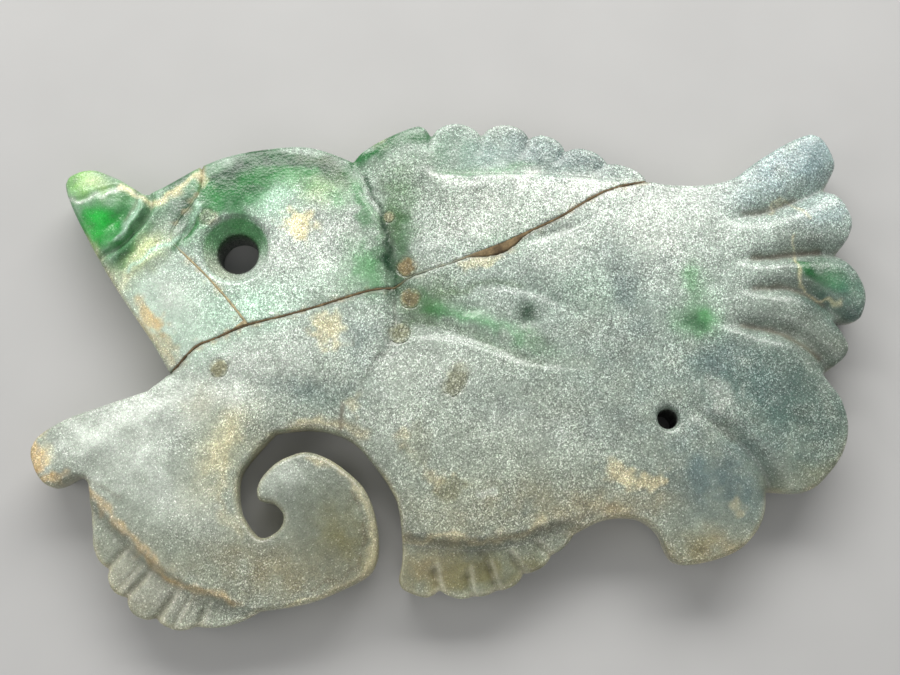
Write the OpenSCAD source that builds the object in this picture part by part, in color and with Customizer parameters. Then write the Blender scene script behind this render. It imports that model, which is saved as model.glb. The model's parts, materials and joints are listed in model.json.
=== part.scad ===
// Carved jade plaque in the shape of a fish-bird with a drilled eye, a curled
// chin, a scalloped crest and a lobed tail. The stone lies on its flat back.
// It has broken into three fragments, which are bedded together again along
// two seams, and small drilled pits in its face are packed with earth.
// Places are drawn on a 120 mm long plaque, x towards the tail and y towards
// the crest, and at() carries them to the part's own frame.

/* [Stone] */
// Length of the plaque from chin tip to tail
plaque_length = 119.4; // [100:0.1:140]
// Thickness at the top of the crown
stone_t = 9; // [8.4:0.1:11]
// Height of the rim, where the crown's slope begins
rim_h = 7.4; // [6.4:0.1:7.6]
// Chamfer ground along both edges of the rim
edge_chamfer = 0.8; // [0.5:0.05:0.9]
// Width of the crown's slope
crown_slope = 3.2; // [2.6:0.1:3.6]
// Height that the fins of the chin and belly are ground down to
fin_h = 6; // [5:0.1:6.6]
// Height that the crest is ground down to
crest_fin_h = 6.5; // [5.6:0.1:7]

/* [Carving] */
// Depth of the grooves between the tail's lobes
tail_groove_depth = 1.8; // [1:0.1:2.4]
// Depth of the groove that sets the head off from the body
collar_groove_depth = 0.9; // [0.5:0.1:1.4]
// Depth of the hollow above the belly
flank_groove_depth = 1.1; // [0.6:0.1:1.6]
// Depth of the folds across the snout
snout_groove_depth = 1.3; // [0.8:0.1:1.8]
// Depth of the creases between the fins' scallops
fin_crease_depth = 0.6; // [0.3:0.1:0.9]

/* [Drilled holes] */
// Radius of the eye's through hole
eye_r = 2.9; // [2.4:0.05:3.2]
// Radius of the eye's sink at the face
eye_sink_r = 4.9; // [4.2:0.1:5.2]
// Depth of the eye's sink
eye_sink_depth = 2.6; // [1.6:0.1:3]
// Radius of the cord hole
cord_hole_r = 1.45; // [1:0.05:1.8]
// Depth of the pits drilled in the face
pit_depth = 1; // [0.6:0.1:1.4]
// How far the packed earth stops below the face
pit_fill_gap = 0.3; // [0.1:0.05:0.4]

/* [Seams] */
// Width of the filler along the seams
seam_w = 0.3; // [0.2:0.05:0.5]
// Extra width of the filler where the long seam's edge has chipped away
chip_w = 1.3; // [0:0.1:1.6]
// How far the filler stops below the stone's surface
seam_gap = 0.3; // [0.15:0.05:0.4]

/* [Hidden] */
spline_steps = 4;
arc_steps = 7;
cut_top = stone_t + 1;

// ---- Curves ----

// Smooth curve through all of p, without its last point.
function curve(p, n = spline_steps) =
    let (last = len(p) - 1)
    [for (i = [0 : last - 1], s = [0 : n - 1])
        let (
            t = s / n,
            a = p[max(i - 1, 0)], b = p[i], c = p[i + 1], d = p[min(i + 2, last)]
        )
        (b * 2 + (c - a) * t + (a * 2 - b * 5 + c * 4 - d) * t ^ 2
            + (b * 3 - a - c * 3 + d) * t ^ 3) / 2];

// The same with its last point.
function whole_curve(p, n = spline_steps) = concat(curve(p, n), [p[len(p) - 1]]);

// Round bulge from a to b that stands out to the left of the way, without b.
function bulge(a, b, rise, n = arc_steps) =
    let (
        half = norm(b - a) / 2, along = (b - a) / (2 * half),
        out = [-along.y, along.x], r = (half ^ 2 + rise ^ 2) / (2 * rise),
        centre = (a + b) / 2 + out * (rise - r), open = asin(half / r)
    )
    [for (i = [0 : n - 1])
        let (t = open * (2 * i / n - 1))
        centre + (along * sin(t) + out * cos(t)) * r];

// A row of bulges between neighbouring notches.
function scallops(notches, rises) =
    [for (i = [0 : len(notches) - 2], p = bulge(notches[i], notches[i + 1], rises[i])) p];

// The curve p moved sideways by w(i) at its i-th point, to the left of its way.
function beside(p, w) =
    let (last = len(p) - 1)
    [for (i = [0 : last])
        let (d = p[min(i + 1, last)] - p[max(i - 1, 0)], u = d / norm(d))
        p[i] + [-u.y, u.x] * w[i]];

function backwards(p) = [for (i = [len(p) - 1 : -1 : 0]) p[i]];

// ---- The outline, clockwise from the throat ----

throat = [-40.1, 0.2];
brow_notch = [-45.1, 27.1];
neck_notch = [-14.4, 32.3];
crest_start = [-2.8, 36.3];
crest_end = [29.4, 29.3];
chin_corner = [-26.2, -33.1];

snout_edge = curve([
    throat, [-42.9, 4.8], [-46.6, 10], [-50, 15], [-53, 20], [-55.7, 25],
    [-57.1, 28.8], [-55.8, 30.6], [-52.8, 31.1], [-49.6, 29.9], [-47.4, 28.5], brow_notch
]);
brow_edge = curve([
    brow_notch, [-42.4, 28.3], [-36.8, 31.6], [-32, 33.4], [-25.8, 34.4],
    [-21.8, 34.6], [-18.4, 33.9], neck_notch
]);
crest_front_edge = curve([neck_notch, [-12.4, 34.3], [-8, 36.8], [-4.4, 37.9], crest_start]);
crest_edge = scallops(
    [crest_start, [4.7, 36.8], [11.9, 36.5], [17.3, 34.3], [23.6, 32.2], crest_end],
    [2.2, 2, 1.3, 1.3, 1]
);
back_edge = curve([
    crest_end, [33, 28.6], [38.4, 28.7], [42.2, 29.8], [45.6, 32.3], [50.4, 35.3],
    [54, 36.6], [56, 35.2], [57.2, 32.2], [56.8, 30.2], [55.8, 28.2]
]);
tail_edge = concat(
    curve([[55.8, 28.2], [57.8, 26.4], [59.1, 23.4], [58.6, 20.8], [56.8, 18.2]]),
    curve([[56.8, 18.2], [59.3, 15.1], [60.3, 11.8], [59.4, 8.5], [57.6, 8], [55.6, 8]]),
    curve([[55.6, 8], [57.1, 5], [56.9, 2.9], [53.7, 0.2]])
);
lobe_edge = concat(
    curve([
        [53.7, 0.2], [55.4, -2.5], [56.4, -6.8], [55.6, -10.9], [52.8, -14.6],
        [49.8, -16.7], [44.6, -16.6]
    ]),
    curve([
        [44.6, -16.6], [44.2, -19.2], [42.8, -22], [40, -24.8], [36, -26.3],
        [31.7, -26.7], [30, -25], [28.8, -22.2], [25.8, -20.4], [21.6, -20.6], [17.3, -22.6]
    ])
);
belly_fin_edge = concat(
    scallops(
        [[17.3, -22.6], [14.2, -25.4], [10.3, -27.9], [6.6, -30.2], [3.4, -31], [-1.4, -30.2]],
        [0.35, 0.7, 0.7, 0.3, 0.7]
    ),
    curve([
        [-1.4, -30.2], [-3.2, -31.2], [-6.2, -30.3], [-7.1, -28.8], [-6.6, -25.4],
        [-7.1, -19.4], [-8.6, -15.9], [-10.9, -12.7], [-13.6, -9.8], [-17.2, -8.2],
        [-20.8, -7.8], [-24.9, -8.3]
    ])
);
curl_tip = [-26.9, -17.9];
curl_edge = concat(
    curve([
        [-24.9, -8.3], [-27.3, -11], [-29.3, -13.8], [-29.7, -16.8], [-28.9, -20.1],
        [-26.5, -23], [-24.1, -22.2], [-23.2, -20.3], [-24.4, -18.5], curl_tip
    ]),
    curve([
        curl_tip, [-26.9, -15.5], [-24.9, -13], [-22.6, -11.6], [-19.8, -11.1],
        [-16.3, -12.5], [-12.2, -16], [-10.5, -19.8], [-9.9, -24.6], [-11, -28],
        [-15.9, -30.7], [-20.4, -32.2], chin_corner
    ])
);
chin_fin_edge = scallops(
    [chin_corner, [-34.9, -35.1], [-40.6, -34], [-44.7, -31.2], [-47.4, -27.4], [-49.8, -23.4]],
    [0.9, 1, 1.3, 1.1, 0.6]
);
jaw_edge = curve([
    [-49.8, -23.4], [-50.3, -18.6], [-50.9, -15.3], [-52.6, -14.7], [-55.6, -16.1],
    [-57.8, -14.6], [-59.1, -11.6], [-58.3, -9], [-54.5, -6.4], [-49.2, -4.4], [-43.1, -2.3]
]);

drawn_outline = concat(
    snout_edge, brow_edge, crest_front_edge, crest_edge, back_edge, tail_edge,
    lobe_edge, belly_fin_edge, curl_edge, chin_fin_edge, jaw_edge, [[-43.1, -2.3]]
);
drawn_x = [for (p = drawn_outline) p.x];
drawn_y = [for (p = drawn_outline) p.y];
datum = [max(drawn_x) + min(drawn_x), max(drawn_y) + min(drawn_y)] / 2;
drawing_scale = plaque_length / (max(drawn_x) - min(drawn_x));

function at(p) = (p - datum) * drawing_scale;
function all_at(points) = [for (p = points) at(p)];

// ---- The two seams ----

long_seam = whole_curve([
    [-44, 0.6], throat, [-36.5, 3.7], [-33.3, 5.1], [-28.9, 7], [-23.8, 8.3], [-18.7, 9.8],
    [-12.2, 11.9], [-8, 12.7], [-5.3, 14.4], [-0.4, 16], [3.7, 17.6], [7.6, 19.2],
    [11.8, 21.1], [16.3, 23.3], [22.6, 27.2], crest_end, [33, 31.2]
], 3);
snout_seam = whole_curve([
    [-27.9, 6], [-28.9, 7], [-32, 10.8], [-35.3, 14.4], [-38.9, 17.9], [-40.6, 20.2],
    [-39.6, 23], [-37.9, 25.2], [-36.8, 28], [-36.9, 33.5]
], 3);

// The chip lies along the middle of the long seam, on its lower side.
chip_from = 3;
chip_to = 11;
function chip(p) =
    p.x < chip_from || p.x > chip_to ? 0 : chip_w * sin(180 * (p.x - chip_from) / (chip_to - chip_from));
long_upper = beside(long_seam, [for (p = long_seam) seam_w / 2]);
long_lower = beside(long_seam, [for (p = long_seam) -seam_w / 2 - chip(p)]);
snout_right = beside(snout_seam, [for (p = snout_seam) -seam_w / 2]);
snout_left = beside(snout_seam, [for (p = snout_seam) seam_w / 2]);

// ---- Carved lines ----

// Each groove is [line, half width in its middle], and it tapers to its ends.
tail_grooves = [
    [whole_curve([[39.2, 22.6], [45.6, 24.2], [51.5, 26.4], [57, 29.2]]), 1.3],
    [whole_curve([[40, 16.5], [46.3, 17.4], [53.2, 18.2], [58.6, 18.4]]), 1],
    [whole_curve([[40.6, 11.8], [46, 12.7], [51.4, 12.2], [57.6, 7.4]]), 1],
    [whole_curve([[36.6, 7.4], [44, 6.9], [50.7, 5], [55.6, -0.8]]), 1.1],
    [whole_curve([[32.4, -5.7], [36, -6.4], [40.9, -10.2], [44.2, -14.4], [45.6, -18.6]]), 1.3]
];
collar_groove = [
    whole_curve([[-14.6, 33.4], [-12.6, 27.6], [-9.5, 21.4], [-8.7, 14], [-8.4, 7.4], [-12, -0.6]]),
    0.7
];
flank_groove = [whole_curve([[-6, 7.4], [1.3, 7], [6.4, 4.9], [10.6, 2.2], [15.4, 0.2]]), 1.5];
snout_grooves = [
    [whole_curve([[-46.3, 28.6], [-46.9, 24.6], [-48.9, 21.6], [-52.2, 19.2]]), 0.8],
    [whole_curve([[-38.2, 24.8], [-40, 21.8], [-43.2, 18.9]]), 0.9]
];
crest_creases = [
    [whole_curve([crest_start + [0.4, 1], [-4, 33.4], [-5.2, 30.6]]), 0.5],
    [whole_curve([[4.8, 37.8], [4.4, 34], [3, 31.2]]), 0.5],
    [whole_curve([[12.2, 37.5], [11.2, 34], [9.2, 31.2]]), 0.5],
    [whole_curve([[17.9, 35.2], [16, 32.6], [14.2, 31]]), 0.45],
    [whole_curve([[24.2, 33], [22, 31.2], [19.6, 30.4]]), 0.45]
];
fin_creases = [
    [whole_curve([[-48.4, -28], [-46.2, -25.6], [-44.9, -24.6]]), 0.45],
    [whole_curve([[-45.6, -31.9], [-42.9, -29], [-41.6, -27.6]]), 0.5],
    [whole_curve([[-41, -35], [-38.9, -31.8], [-37.8, -29.9]]), 0.5],
    [whole_curve([[-35.2, -36.2], [-34.2, -33.6], [-33.6, -31.8]]), 0.5],
    [whole_curve([[-1.3, -31.2], [-2, -28], [-2.4, -25.2]]), 0.5],
    [whole_curve([[3.4, -32], [2.6, -28.4], [2.2, -25]]), 0.4],
    [whole_curve([[6.9, -31.2], [5.4, -28], [4.6, -25.2]]), 0.5],
    [whole_curve([[10.8, -28.8], [9, -26.4], [7.9, -24.6]]), 0.5],
    [whole_curve([[14.8, -26.2], [12.6, -24.2], [11.4, -23.2]]), 0.4]
];

// The ground-down fins reach from these lines out past the outline.
crest_fin_line = whole_curve([
    [-5.6, 42], [-5, 33.4], [-3.6, 30.6], [0.6, 29.9], [6.6, 29.9], [14, 29.9],
    [21, 29.3], [27, 28.9], [32, 29.6]
]);
chin_fin_line = whole_curve([
    [-53, -17.6], [-50.1, -18.3], [-46.6, -21.8], [-41.1, -26.7], [-35.6, -29.9],
    [-29, -32.3], [-24, -34.4]
]);
belly_fin_line = whole_curve([
    [-9.4, -22.9], [-3.4, -23.1], [3.4, -23.7], [8.6, -23], [13, -21.8], [16, -21.2], [20, -22.6]
]);

// ---- Drilled places ----

eye_at = at([-31.2, 18.4]);
cord_hole_at = at([30.8, -6.4]);
collar_pits = [[[-8.9, 23.4], 0.8], [[-6.2, 15.7], 1.4], [[-5.7, 11], 1.5], [[-7.2, 5.9], 1.5]];
brow_pit = [[-35.5, 23.2], 1.2];
throat_pit = [[-32.9, 0.7], 1.3];
flank_pit_at = [0.8, -1];
flank_pit_r = 1.5;
flank_pit_stretch = 2.2;
flank_pit_turn = 62;

// ---- Stone ----

// Coarse fields around each piece, a few millimetres wider than the piece, so
// that its stone is worked from its own stretch of the outline.
body_field = [[-80, 4], [-36, 12], [12, 30], [30, 40], [80, 50], [80, -60], [-80, -60]];
head_field = [[-48, 60], [-48, -6], [-36, -6], [-5, 6], [40, 20], [50, 60]];
snout_field = [[-80, 60], [-80, -10], [-40, -10], [-20, 2], [-20, 14], [-29, 24], [-29, 60]];
long_seam_field = [
    [-50, -8], [-36, -4], [-10, 5], [30, 20], [40, 30], [36, 40], [20, 34], [-10, 20], [-36, 12],
    [-50, 4]
];
snout_seam_field = [[-48, 40], [-48, 16], [-38, 4], [-24, -2], [-20, 8], [-28, 18], [-29, 40]];

module outline_2d(field) {
    intersection() {
        polygon(all_at(drawn_outline));
        polygon(all_at(field));
    }
}

// The stone inside a field, with every surface brought in by "in".
module blank(field, in = 0) {
    translate([0, 0, in + edge_chamfer])
        minkowski() {
            linear_extrude(rim_h - 2 * edge_chamfer - 2 * in)
                offset(delta = -edge_chamfer - in) outline_2d(field);
            rotate_extrude($fn = 8)
                polygon([[0, -edge_chamfer], [edge_chamfer, 0], [0, edge_chamfer]]);
        }
    translate([0, 0, rim_h - in - 1])
        minkowski() {
            linear_extrude(1)
                offset(delta = -crown_slope - edge_chamfer - in) outline_2d(field);
            cylinder(h = stone_t - rim_h, r1 = crown_slope, r2 = 0, $fn = 8);
        }
}

// A carved line, cut to "depth" below the height "top".
module groove(line, depth, top = stone_t) {
    p = all_at(line[0]);
    last = len(p) - 1;
    w = [for (i = [0 : last]) line[1] * (0.35 + 0.65 * sin(180 * i / last))];
    translate([0, 0, top - depth])
        linear_extrude(cut_top - top + depth)
            polygon(concat(beside(p, w), backwards(beside(p, -w))));
}

// Everything outside a fin's line, above the fin's height.
module above_fin(line, far_corners, h) {
    translate([0, 0, h])
        linear_extrude(cut_top - h)
            polygon(all_at(concat(line, far_corners)));
}

module pit(spot) {
    translate(concat(at(spot[0]), stone_t - pit_depth))
        cylinder(h = pit_depth + 1, r = spot[1], $fn = 48);
}

module pit_fill(spot) {
    color("#8a7256")
        translate(concat(at(spot[0]), stone_t - pit_depth))
            cylinder(h = pit_depth - pit_fill_gap, r = spot[1], $fn = 48);
}

module flank_pit_shape(h) {
    translate(concat(at(flank_pit_at), stone_t - pit_depth))
        rotate(flank_pit_turn)
            linear_extrude(h) {
                square([flank_pit_stretch, 2 * flank_pit_r], center = true);
                for (x = [-1, 1] * flank_pit_stretch / 2) translate([x, 0]) circle(flank_pit_r, $fn = 48);
            }
}

// Prism over the region on the upper side of the long seam.
module above_long_seam(edge) {
    translate([0, 0, -1])
        linear_extrude(cut_top + 1)
            polygon(all_at(concat(edge, [[40, 60], [-80, 60], [-80, 0.6]])));
}

// Prism over the region on the snout's side of the snout seam.
module before_snout_seam(edge) {
    translate([0, 0, -1])
        linear_extrude(cut_top + 1)
            polygon(all_at(concat(edge, [[-80, 60], [-80, -10], [-45, -10]])));
}

module eye_hole() {
    translate(concat(eye_at, -1)) cylinder(h = cut_top + 1, r = eye_r, $fn = 96);
    translate(concat(eye_at, stone_t - eye_sink_depth))
        cylinder(h = eye_sink_depth + 0.01, r1 = eye_r, r2 = eye_sink_r, $fn = 96);
}

module cord_hole() {
    translate(concat(cord_hole_at, -1)) cylinder(h = cut_top + 1, r = cord_hole_r, $fn = 72);
}

module body_fragment() {
    color("#9fb0ad") difference() {
        blank(body_field);
        above_long_seam(long_lower);
        above_fin(chin_fin_line, [[-24, -60], [-70, -60], [-70, -17.6]], fin_h);
        above_fin(belly_fin_line, [[20, -60], [-9.4, -60]], fin_h);
        cord_hole();
        for (g = tail_grooves) groove(g, tail_groove_depth);
        groove(collar_groove, collar_groove_depth);
        groove(flank_groove, flank_groove_depth);
        for (g = fin_creases) groove(g, fin_crease_depth, fin_h);
        pit(collar_pits[2]);
        pit(collar_pits[3]);
        pit(throat_pit);
        flank_pit_shape(pit_depth + 1);
    }
}

module head_fragment() {
    color("#a9c6b0") difference() {
        intersection() {
            blank(head_field);
            above_long_seam(long_upper);
        }
        before_snout_seam(snout_right);
        above_fin(crest_fin_line, [[32, 60], [-5.6, 60]], crest_fin_h);
        eye_hole();
        groove(collar_groove, collar_groove_depth);
        for (g = crest_creases) groove(g, fin_crease_depth, crest_fin_h);
        pit(collar_pits[0]);
        pit(collar_pits[1]);
        pit(brow_pit);
    }
}

module snout_fragment() {
    color("#3f9a55") difference() {
        intersection() {
            blank(snout_field);
            above_long_seam(long_upper);
            before_snout_seam(snout_left);
        }
        for (g = snout_grooves) groove(g, snout_groove_depth);
    }
}

module long_seam_fill() {
    color("#6b4f2e") intersection() {
        blank(long_seam_field, seam_gap);
        translate([0, 0, -1])
            linear_extrude(cut_top + 1)
                polygon(all_at(concat(long_upper, backwards(long_lower))));
    }
}

module snout_seam_fill() {
    color("#8a6f45") intersection() {
        blank(snout_seam_field, seam_gap);
        above_long_seam(long_upper);
        translate([0, 0, -1])
            linear_extrude(cut_top + 1)
                polygon(all_at(concat(snout_left, backwards(snout_right))));
    }
}

module flank_pit_fill() {
    color("#86795f") flank_pit_shape(pit_depth - pit_fill_gap);
}

body_fragment();
head_fragment();
snout_fragment();
long_seam_fill();
snout_seam_fill();
pit_fill(collar_pits[0]);  // collar_pit_fill_1
pit_fill(collar_pits[1]);  // collar_pit_fill_2
pit_fill(collar_pits[2]);  // collar_pit_fill_3
pit_fill(collar_pits[3]);  // collar_pit_fill_4
pit_fill(brow_pit);  // brow_pit_fill
pit_fill(throat_pit);  // throat_pit_fill
flank_pit_fill();
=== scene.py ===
"""A carved jade plaque, a fish-bird in profile, lying on its flat back.

The outline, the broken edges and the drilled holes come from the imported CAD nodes. This script
carves the relief over them, adds the seams and the packed earth, and mixes the stone's colours.
Lengths are millimetres until an object is made. x runs to the tail, y to the crest, z out of the
carved face. Carved lines are placed in the same drawing frame as in the part's source.
"""
import json
import math

import bpy
import numpy as np
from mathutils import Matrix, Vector


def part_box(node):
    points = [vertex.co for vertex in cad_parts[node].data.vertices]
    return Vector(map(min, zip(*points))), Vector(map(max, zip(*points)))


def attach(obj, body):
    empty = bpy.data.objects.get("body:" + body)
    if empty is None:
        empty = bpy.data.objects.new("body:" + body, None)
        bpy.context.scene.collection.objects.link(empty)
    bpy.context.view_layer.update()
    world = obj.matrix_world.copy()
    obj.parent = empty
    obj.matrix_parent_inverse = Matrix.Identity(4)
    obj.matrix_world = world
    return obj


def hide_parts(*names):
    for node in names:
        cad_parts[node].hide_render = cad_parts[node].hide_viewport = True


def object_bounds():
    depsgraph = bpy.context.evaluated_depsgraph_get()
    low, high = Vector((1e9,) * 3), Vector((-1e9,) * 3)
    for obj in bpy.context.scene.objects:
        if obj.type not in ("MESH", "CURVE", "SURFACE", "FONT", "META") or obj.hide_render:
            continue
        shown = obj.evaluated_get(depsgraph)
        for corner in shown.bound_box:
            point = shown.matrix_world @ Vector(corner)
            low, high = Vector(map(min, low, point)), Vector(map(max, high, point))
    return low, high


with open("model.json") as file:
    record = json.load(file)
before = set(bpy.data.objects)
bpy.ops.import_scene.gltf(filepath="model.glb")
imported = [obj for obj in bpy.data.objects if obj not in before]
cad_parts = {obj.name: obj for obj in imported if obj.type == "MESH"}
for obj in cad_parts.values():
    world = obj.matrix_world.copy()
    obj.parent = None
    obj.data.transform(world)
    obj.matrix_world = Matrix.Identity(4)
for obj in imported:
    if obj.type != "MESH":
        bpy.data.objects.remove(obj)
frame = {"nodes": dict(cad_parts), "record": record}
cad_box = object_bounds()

MM = 0.001
DRAWING_CENTRE = np.array([0.59, 1.57])

FRAGMENTS = ["body_fragment", "head_fragment", "snout_fragment"]
SEAM_FILLS = ["long_seam_fill", "snout_seam_fill"]
MOUNTS = {m["name"]: m for m in frame["record"]["mounts"]}

# The face: its height at the crown and at the rim, and how far in from the edge it still rises
CROWN = 8.85
RIM = 7.75
CROWN_REACH = 12.0
CROWN_POWER = 2.2
# The outer edge: its radius on the face, on the fins and on the back, and the side wall's lean
EDGE_ROUND = 0.65
FIN_ROUND = 0.32
BACK_ROUND = 2.2
WALL_LEAN = 0.7
WALL_LEAN_TOP = 5.5
FIN_SLOPE = 0.08
# The height where the CAD outlines are read, and the grid that the stone is modelled on
SLICE_AT = 3.4
GRID = 0.28
GRID_Z = 0.40
GRID_MARGIN = 1.5
GRID_BOTTOM = -0.9


# ---------------------------------------------------------------- curves and fields

def at(points):
    """Points of the drawing, carried to the row frame."""
    return np.array(points, float) - DRAWING_CENTRE


def curve(points, steps=6):
    """A smooth curve through the points, as (n, 2)."""
    p = at(points)
    p = np.vstack([2 * p[0] - p[1], p, 2 * p[-1] - p[-2]])
    t = np.linspace(0, 1, steps, endpoint=False)[:, None]
    spans = [
        0.5 * (2 * b + (c - a) * t + (2 * a - 5 * b + 4 * c - d) * t**2 + (3 * b - a - 3 * c + d) * t**3)
        for a, b, c, d in zip(p, p[1:], p[2:], p[3:])
    ]
    return np.vstack(spans + [p[-2:-1]])


def smooth(x):
    """Eases from 0 to 1 as x goes from 0 to 1."""
    x = np.clip(x, 0, 1)
    return x * x * (3 - 2 * x)


def bell(x, power=2):
    """1 at 0, dying away on both sides; a high power gives it a flat top."""
    return np.exp(-(x**power))


# Large odd numbers that turn a grid cell and a seed into a repeatable random value
CELL_PRIMES = (73856093, 19349663, 83492791)
SEED_PRIME = 7919
FIRST_SCRAMBLE = 1274126177
SECOND_SCRAMBLE = 668265263
LOW_BITS = 0x7FFFFFFF


def noise(p, size, seed):
    """Soft value noise from -1 to 1 at points (..., 2 or 3)."""
    p = np.asarray(p, float) / size + 500.0
    cell = np.floor(p).astype(np.int64)
    f = p - cell
    f = f * f * f * (f * (f * 6 - 15) + 10)
    total = 0.0
    for corner in np.ndindex(*(2,) * p.shape[-1]):
        h = np.full(p.shape[:-1], seed * SEED_PRIME, np.int64)
        weight = 1.0
        for axis, c in enumerate(corner):
            h = (h ^ ((cell[..., axis] + c) * CELL_PRIMES[axis])) & LOW_BITS
            weight = weight * (f[..., axis] if c else 1 - f[..., axis])
        h = (h ^ (h >> 13)) * FIRST_SCRAMBLE & LOW_BITS
        h = (h ^ (h >> 16)) * SECOND_SCRAMBLE & LOW_BITS
        total = total + weight * ((h >> 7) % 65536) / 32767.5
    return total - 1


def rough_noise(p, size, seed, octaves=3):
    """Noise with finer noise laid over it, each layer half as large and half as strong."""
    return sum(noise(p, size / 2**i, seed + i) / 2**i for i in range(octaves)) / (2 - 2 / 2**octaves)


def to_segments(line):
    """A row of points as segments (n, 2, 2)."""
    return np.stack([line[:-1], line[1:]], 1)


def nearest(p, segments):
    """Distance from points (n, 2) to the nearest segment, the side of it (+ on its left), and how
    far along the whole row of segments the foot lies, from 0 to 1."""
    best = np.full(len(p), 1e9)
    side = np.ones(len(p))
    along = np.zeros(len(p))
    lengths = np.hypot(*(segments[:, 1] - segments[:, 0]).T)
    done = 0.0
    for (a, b), length in zip(segments, lengths):
        if length < 1e-9:
            continue
        u = (b - a) / length
        rel = p - a
        t = np.clip(rel @ u, 0, length)
        off = rel - t[:, None] * u
        d2 = (off * off).sum(1)
        closer = d2 < best
        cross = u[0] * rel[:, 1] - u[1] * rel[:, 0]
        best = np.where(closer, d2, best)
        side = np.where(closer, np.sign(cross), side)
        along = np.where(closer, done + t, along)
        done += length
    return np.sqrt(best), side, along / max(done, 1e-9)


def inside(p, segments):
    """Even-odd test of points (n, 2) against closed outlines."""
    odd = np.zeros(len(p), bool)
    for a, b in segments:
        if a[1] == b[1]:
            continue
        spans = (a[1] > p[:, 1]) != (b[1] > p[:, 1])
        x = a[0] + (p[:, 1] - a[1]) * (b[0] - a[0]) / (b[1] - a[1])
        odd ^= spans & (p[:, 0] < x)
    return odd


def slice_node(name, height):
    """A CAD node's outline at a height, as segments (n, 2, 2) with the solid on their left."""
    mesh = frame["nodes"][name].data
    mesh.calc_loop_triangles()
    co = np.empty(len(mesh.vertices) * 3)
    mesh.vertices.foreach_get("co", co)
    corners = np.empty(len(mesh.loop_triangles) * 3, np.int32)
    mesh.loop_triangles.foreach_get("vertices", corners)
    tri = (co.reshape(-1, 3) / MM)[corners].reshape(-1, 3, 3)
    above = tri[:, :, 2] > height
    crossing = above.any(1) & ~above.all(1)
    tri, above = tri[crossing], above[crossing]
    alone = np.where(above.sum(1) == 1, above.argmax(1), (~above).argmax(1))
    rows = np.arange(len(tri))
    a, b, c = (tri[rows, (alone + k) % 3] for k in range(3))

    def cut(p, q):
        t = (height - p[:, 2]) / (q[:, 2] - p[:, 2])
        return (p + t[:, None] * (q - p))[:, :2]

    segments = np.stack([cut(a, b), cut(a, c)], 1)
    normal = np.cross(b - a, c - a)[:, :2]
    d = segments[:, 1] - segments[:, 0]
    backward = (d[:, 0] * -normal[:, 1] + d[:, 1] * normal[:, 0]) < 0
    segments[backward] = segments[backward][:, ::-1]
    return segments[np.hypot(*d.T) > 1e-6]


# ---------------------------------------------------------------- the stone's plan

low = np.array(cad_box[0]) / MM - GRID_MARGIN
high = np.array(cad_box[1]) / MM + GRID_MARGIN
xs = np.arange(low[0], high[0], GRID)
ys = np.arange(low[1], high[1], GRID)
zs = np.arange(GRID_BOTTOM, high[2], GRID_Z)
plan = np.stack(np.meshgrid(xs, ys, indexing="ij"), -1).reshape(-1, 2)

outlines = {name: slice_node(name, SLICE_AT) for name in FRAGMENTS + SEAM_FILLS}


def mount_place(name):
    """The centre and the radius of a drilled hole."""
    m = MOUNTS[name]
    return np.array(m["pos_m"][:2]) / MM, m["dims"]["r_mm"]


eye_at, eye_r = mount_place("eye_hole")
cord_at, cord_r = mount_place("cord_hole")
HOLES = ((eye_at, eye_r), (cord_at, cord_r))
HOLE_MARGIN = 0.3
PROBE = 0.08


def sort_edges(name):
    """Splits a fragment's outline into (outer edge, broken edge), leaving the drilled holes out."""
    seg = outlines[name]
    mid = seg.mean(1)
    for centre, r in HOLES:
        keep = np.hypot(*(mid - centre).T) > r + HOLE_MARGIN
        seg, mid = seg[keep], mid[keep]
    d = seg[:, 1] - seg[:, 0]
    outward = np.stack([d[:, 1], -d[:, 0]], 1) / np.hypot(*d.T)[:, None]
    broken = np.zeros(len(seg), bool)
    for other, lines in outlines.items():
        if other != name:
            broken |= inside(mid + PROBE * outward, lines)
    return seg[~broken], seg[broken]


edges = {name: sort_edges(name) for name in FRAGMENTS}
outer_edge = np.vstack([edges[name][0] for name in FRAGMENTS])

in_stone = np.zeros(len(plan), bool)
for lines in outlines.values():
    in_stone |= inside(plan, lines)
for centre, r in HOLES:
    in_stone |= np.hypot(*(plan - centre).T) < r + 1
# How far inside the outer edge each place of the plan is; negative outside
to_edge = nearest(plan, outer_edge)[0] * np.where(in_stone, 1, -1)

WIDEST_CRACK = 0.6


def broken_depth(name, p):
    """How far inside its broken edges a point is, in a fragment; negative across them."""
    own = nearest(p, edges[name][1])[0]
    others = np.vstack([edges[other][1] for other in FRAGMENTS if other != name])
    in_crack = own + nearest(p, others)[0] < WIDEST_CRACK
    elsewhere = [inside(p, lines) for other, lines in outlines.items() if other != name]
    across = in_crack | np.any(elsewhere, 0)
    return own * np.where(across & ~inside(p, outlines[name]), -1, 1)


# ---------------------------------------------------------------- the relief

CREST_FIN = curve([
    (-5.6, 42), (-5, 33.4), (-3.6, 30.6), (0.6, 29.9), (6.6, 29.9), (14, 29.9),
    (21, 29.3), (27, 28.9), (32, 29.6),
])
CHIN_FIN = curve([
    (-53, -17.6), (-50.1, -18.3), (-46.6, -21.8), (-41.1, -26.7), (-35.6, -29.9),
    (-29, -32.3), (-24, -34.4),
])
BELLY_FIN = curve([
    (-9.4, -22.9), (-3.4, -23.1), (3.4, -23.7), (8.6, -23), (13, -21.8), (16, -21.2), (20, -22.6),
])
# (root line, corners far outside it, height at the root, x where it starts, width of the start,
# width of the step)
FINS = [
    (CREST_FIN, at([(32, 60), (-5.6, 60)]), 7.0, -5.5, 7.0, 1.1),
    (CHIN_FIN, at([(-24, -60), (-70, -60), (-70, -17.6)]), 6.9, -54.0, 1.0, 1.3),
    (BELLY_FIN, at([(20, -60), (-9.4, -60)]), 6.8, -10.0, 1.0, 2.0),
]

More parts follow.
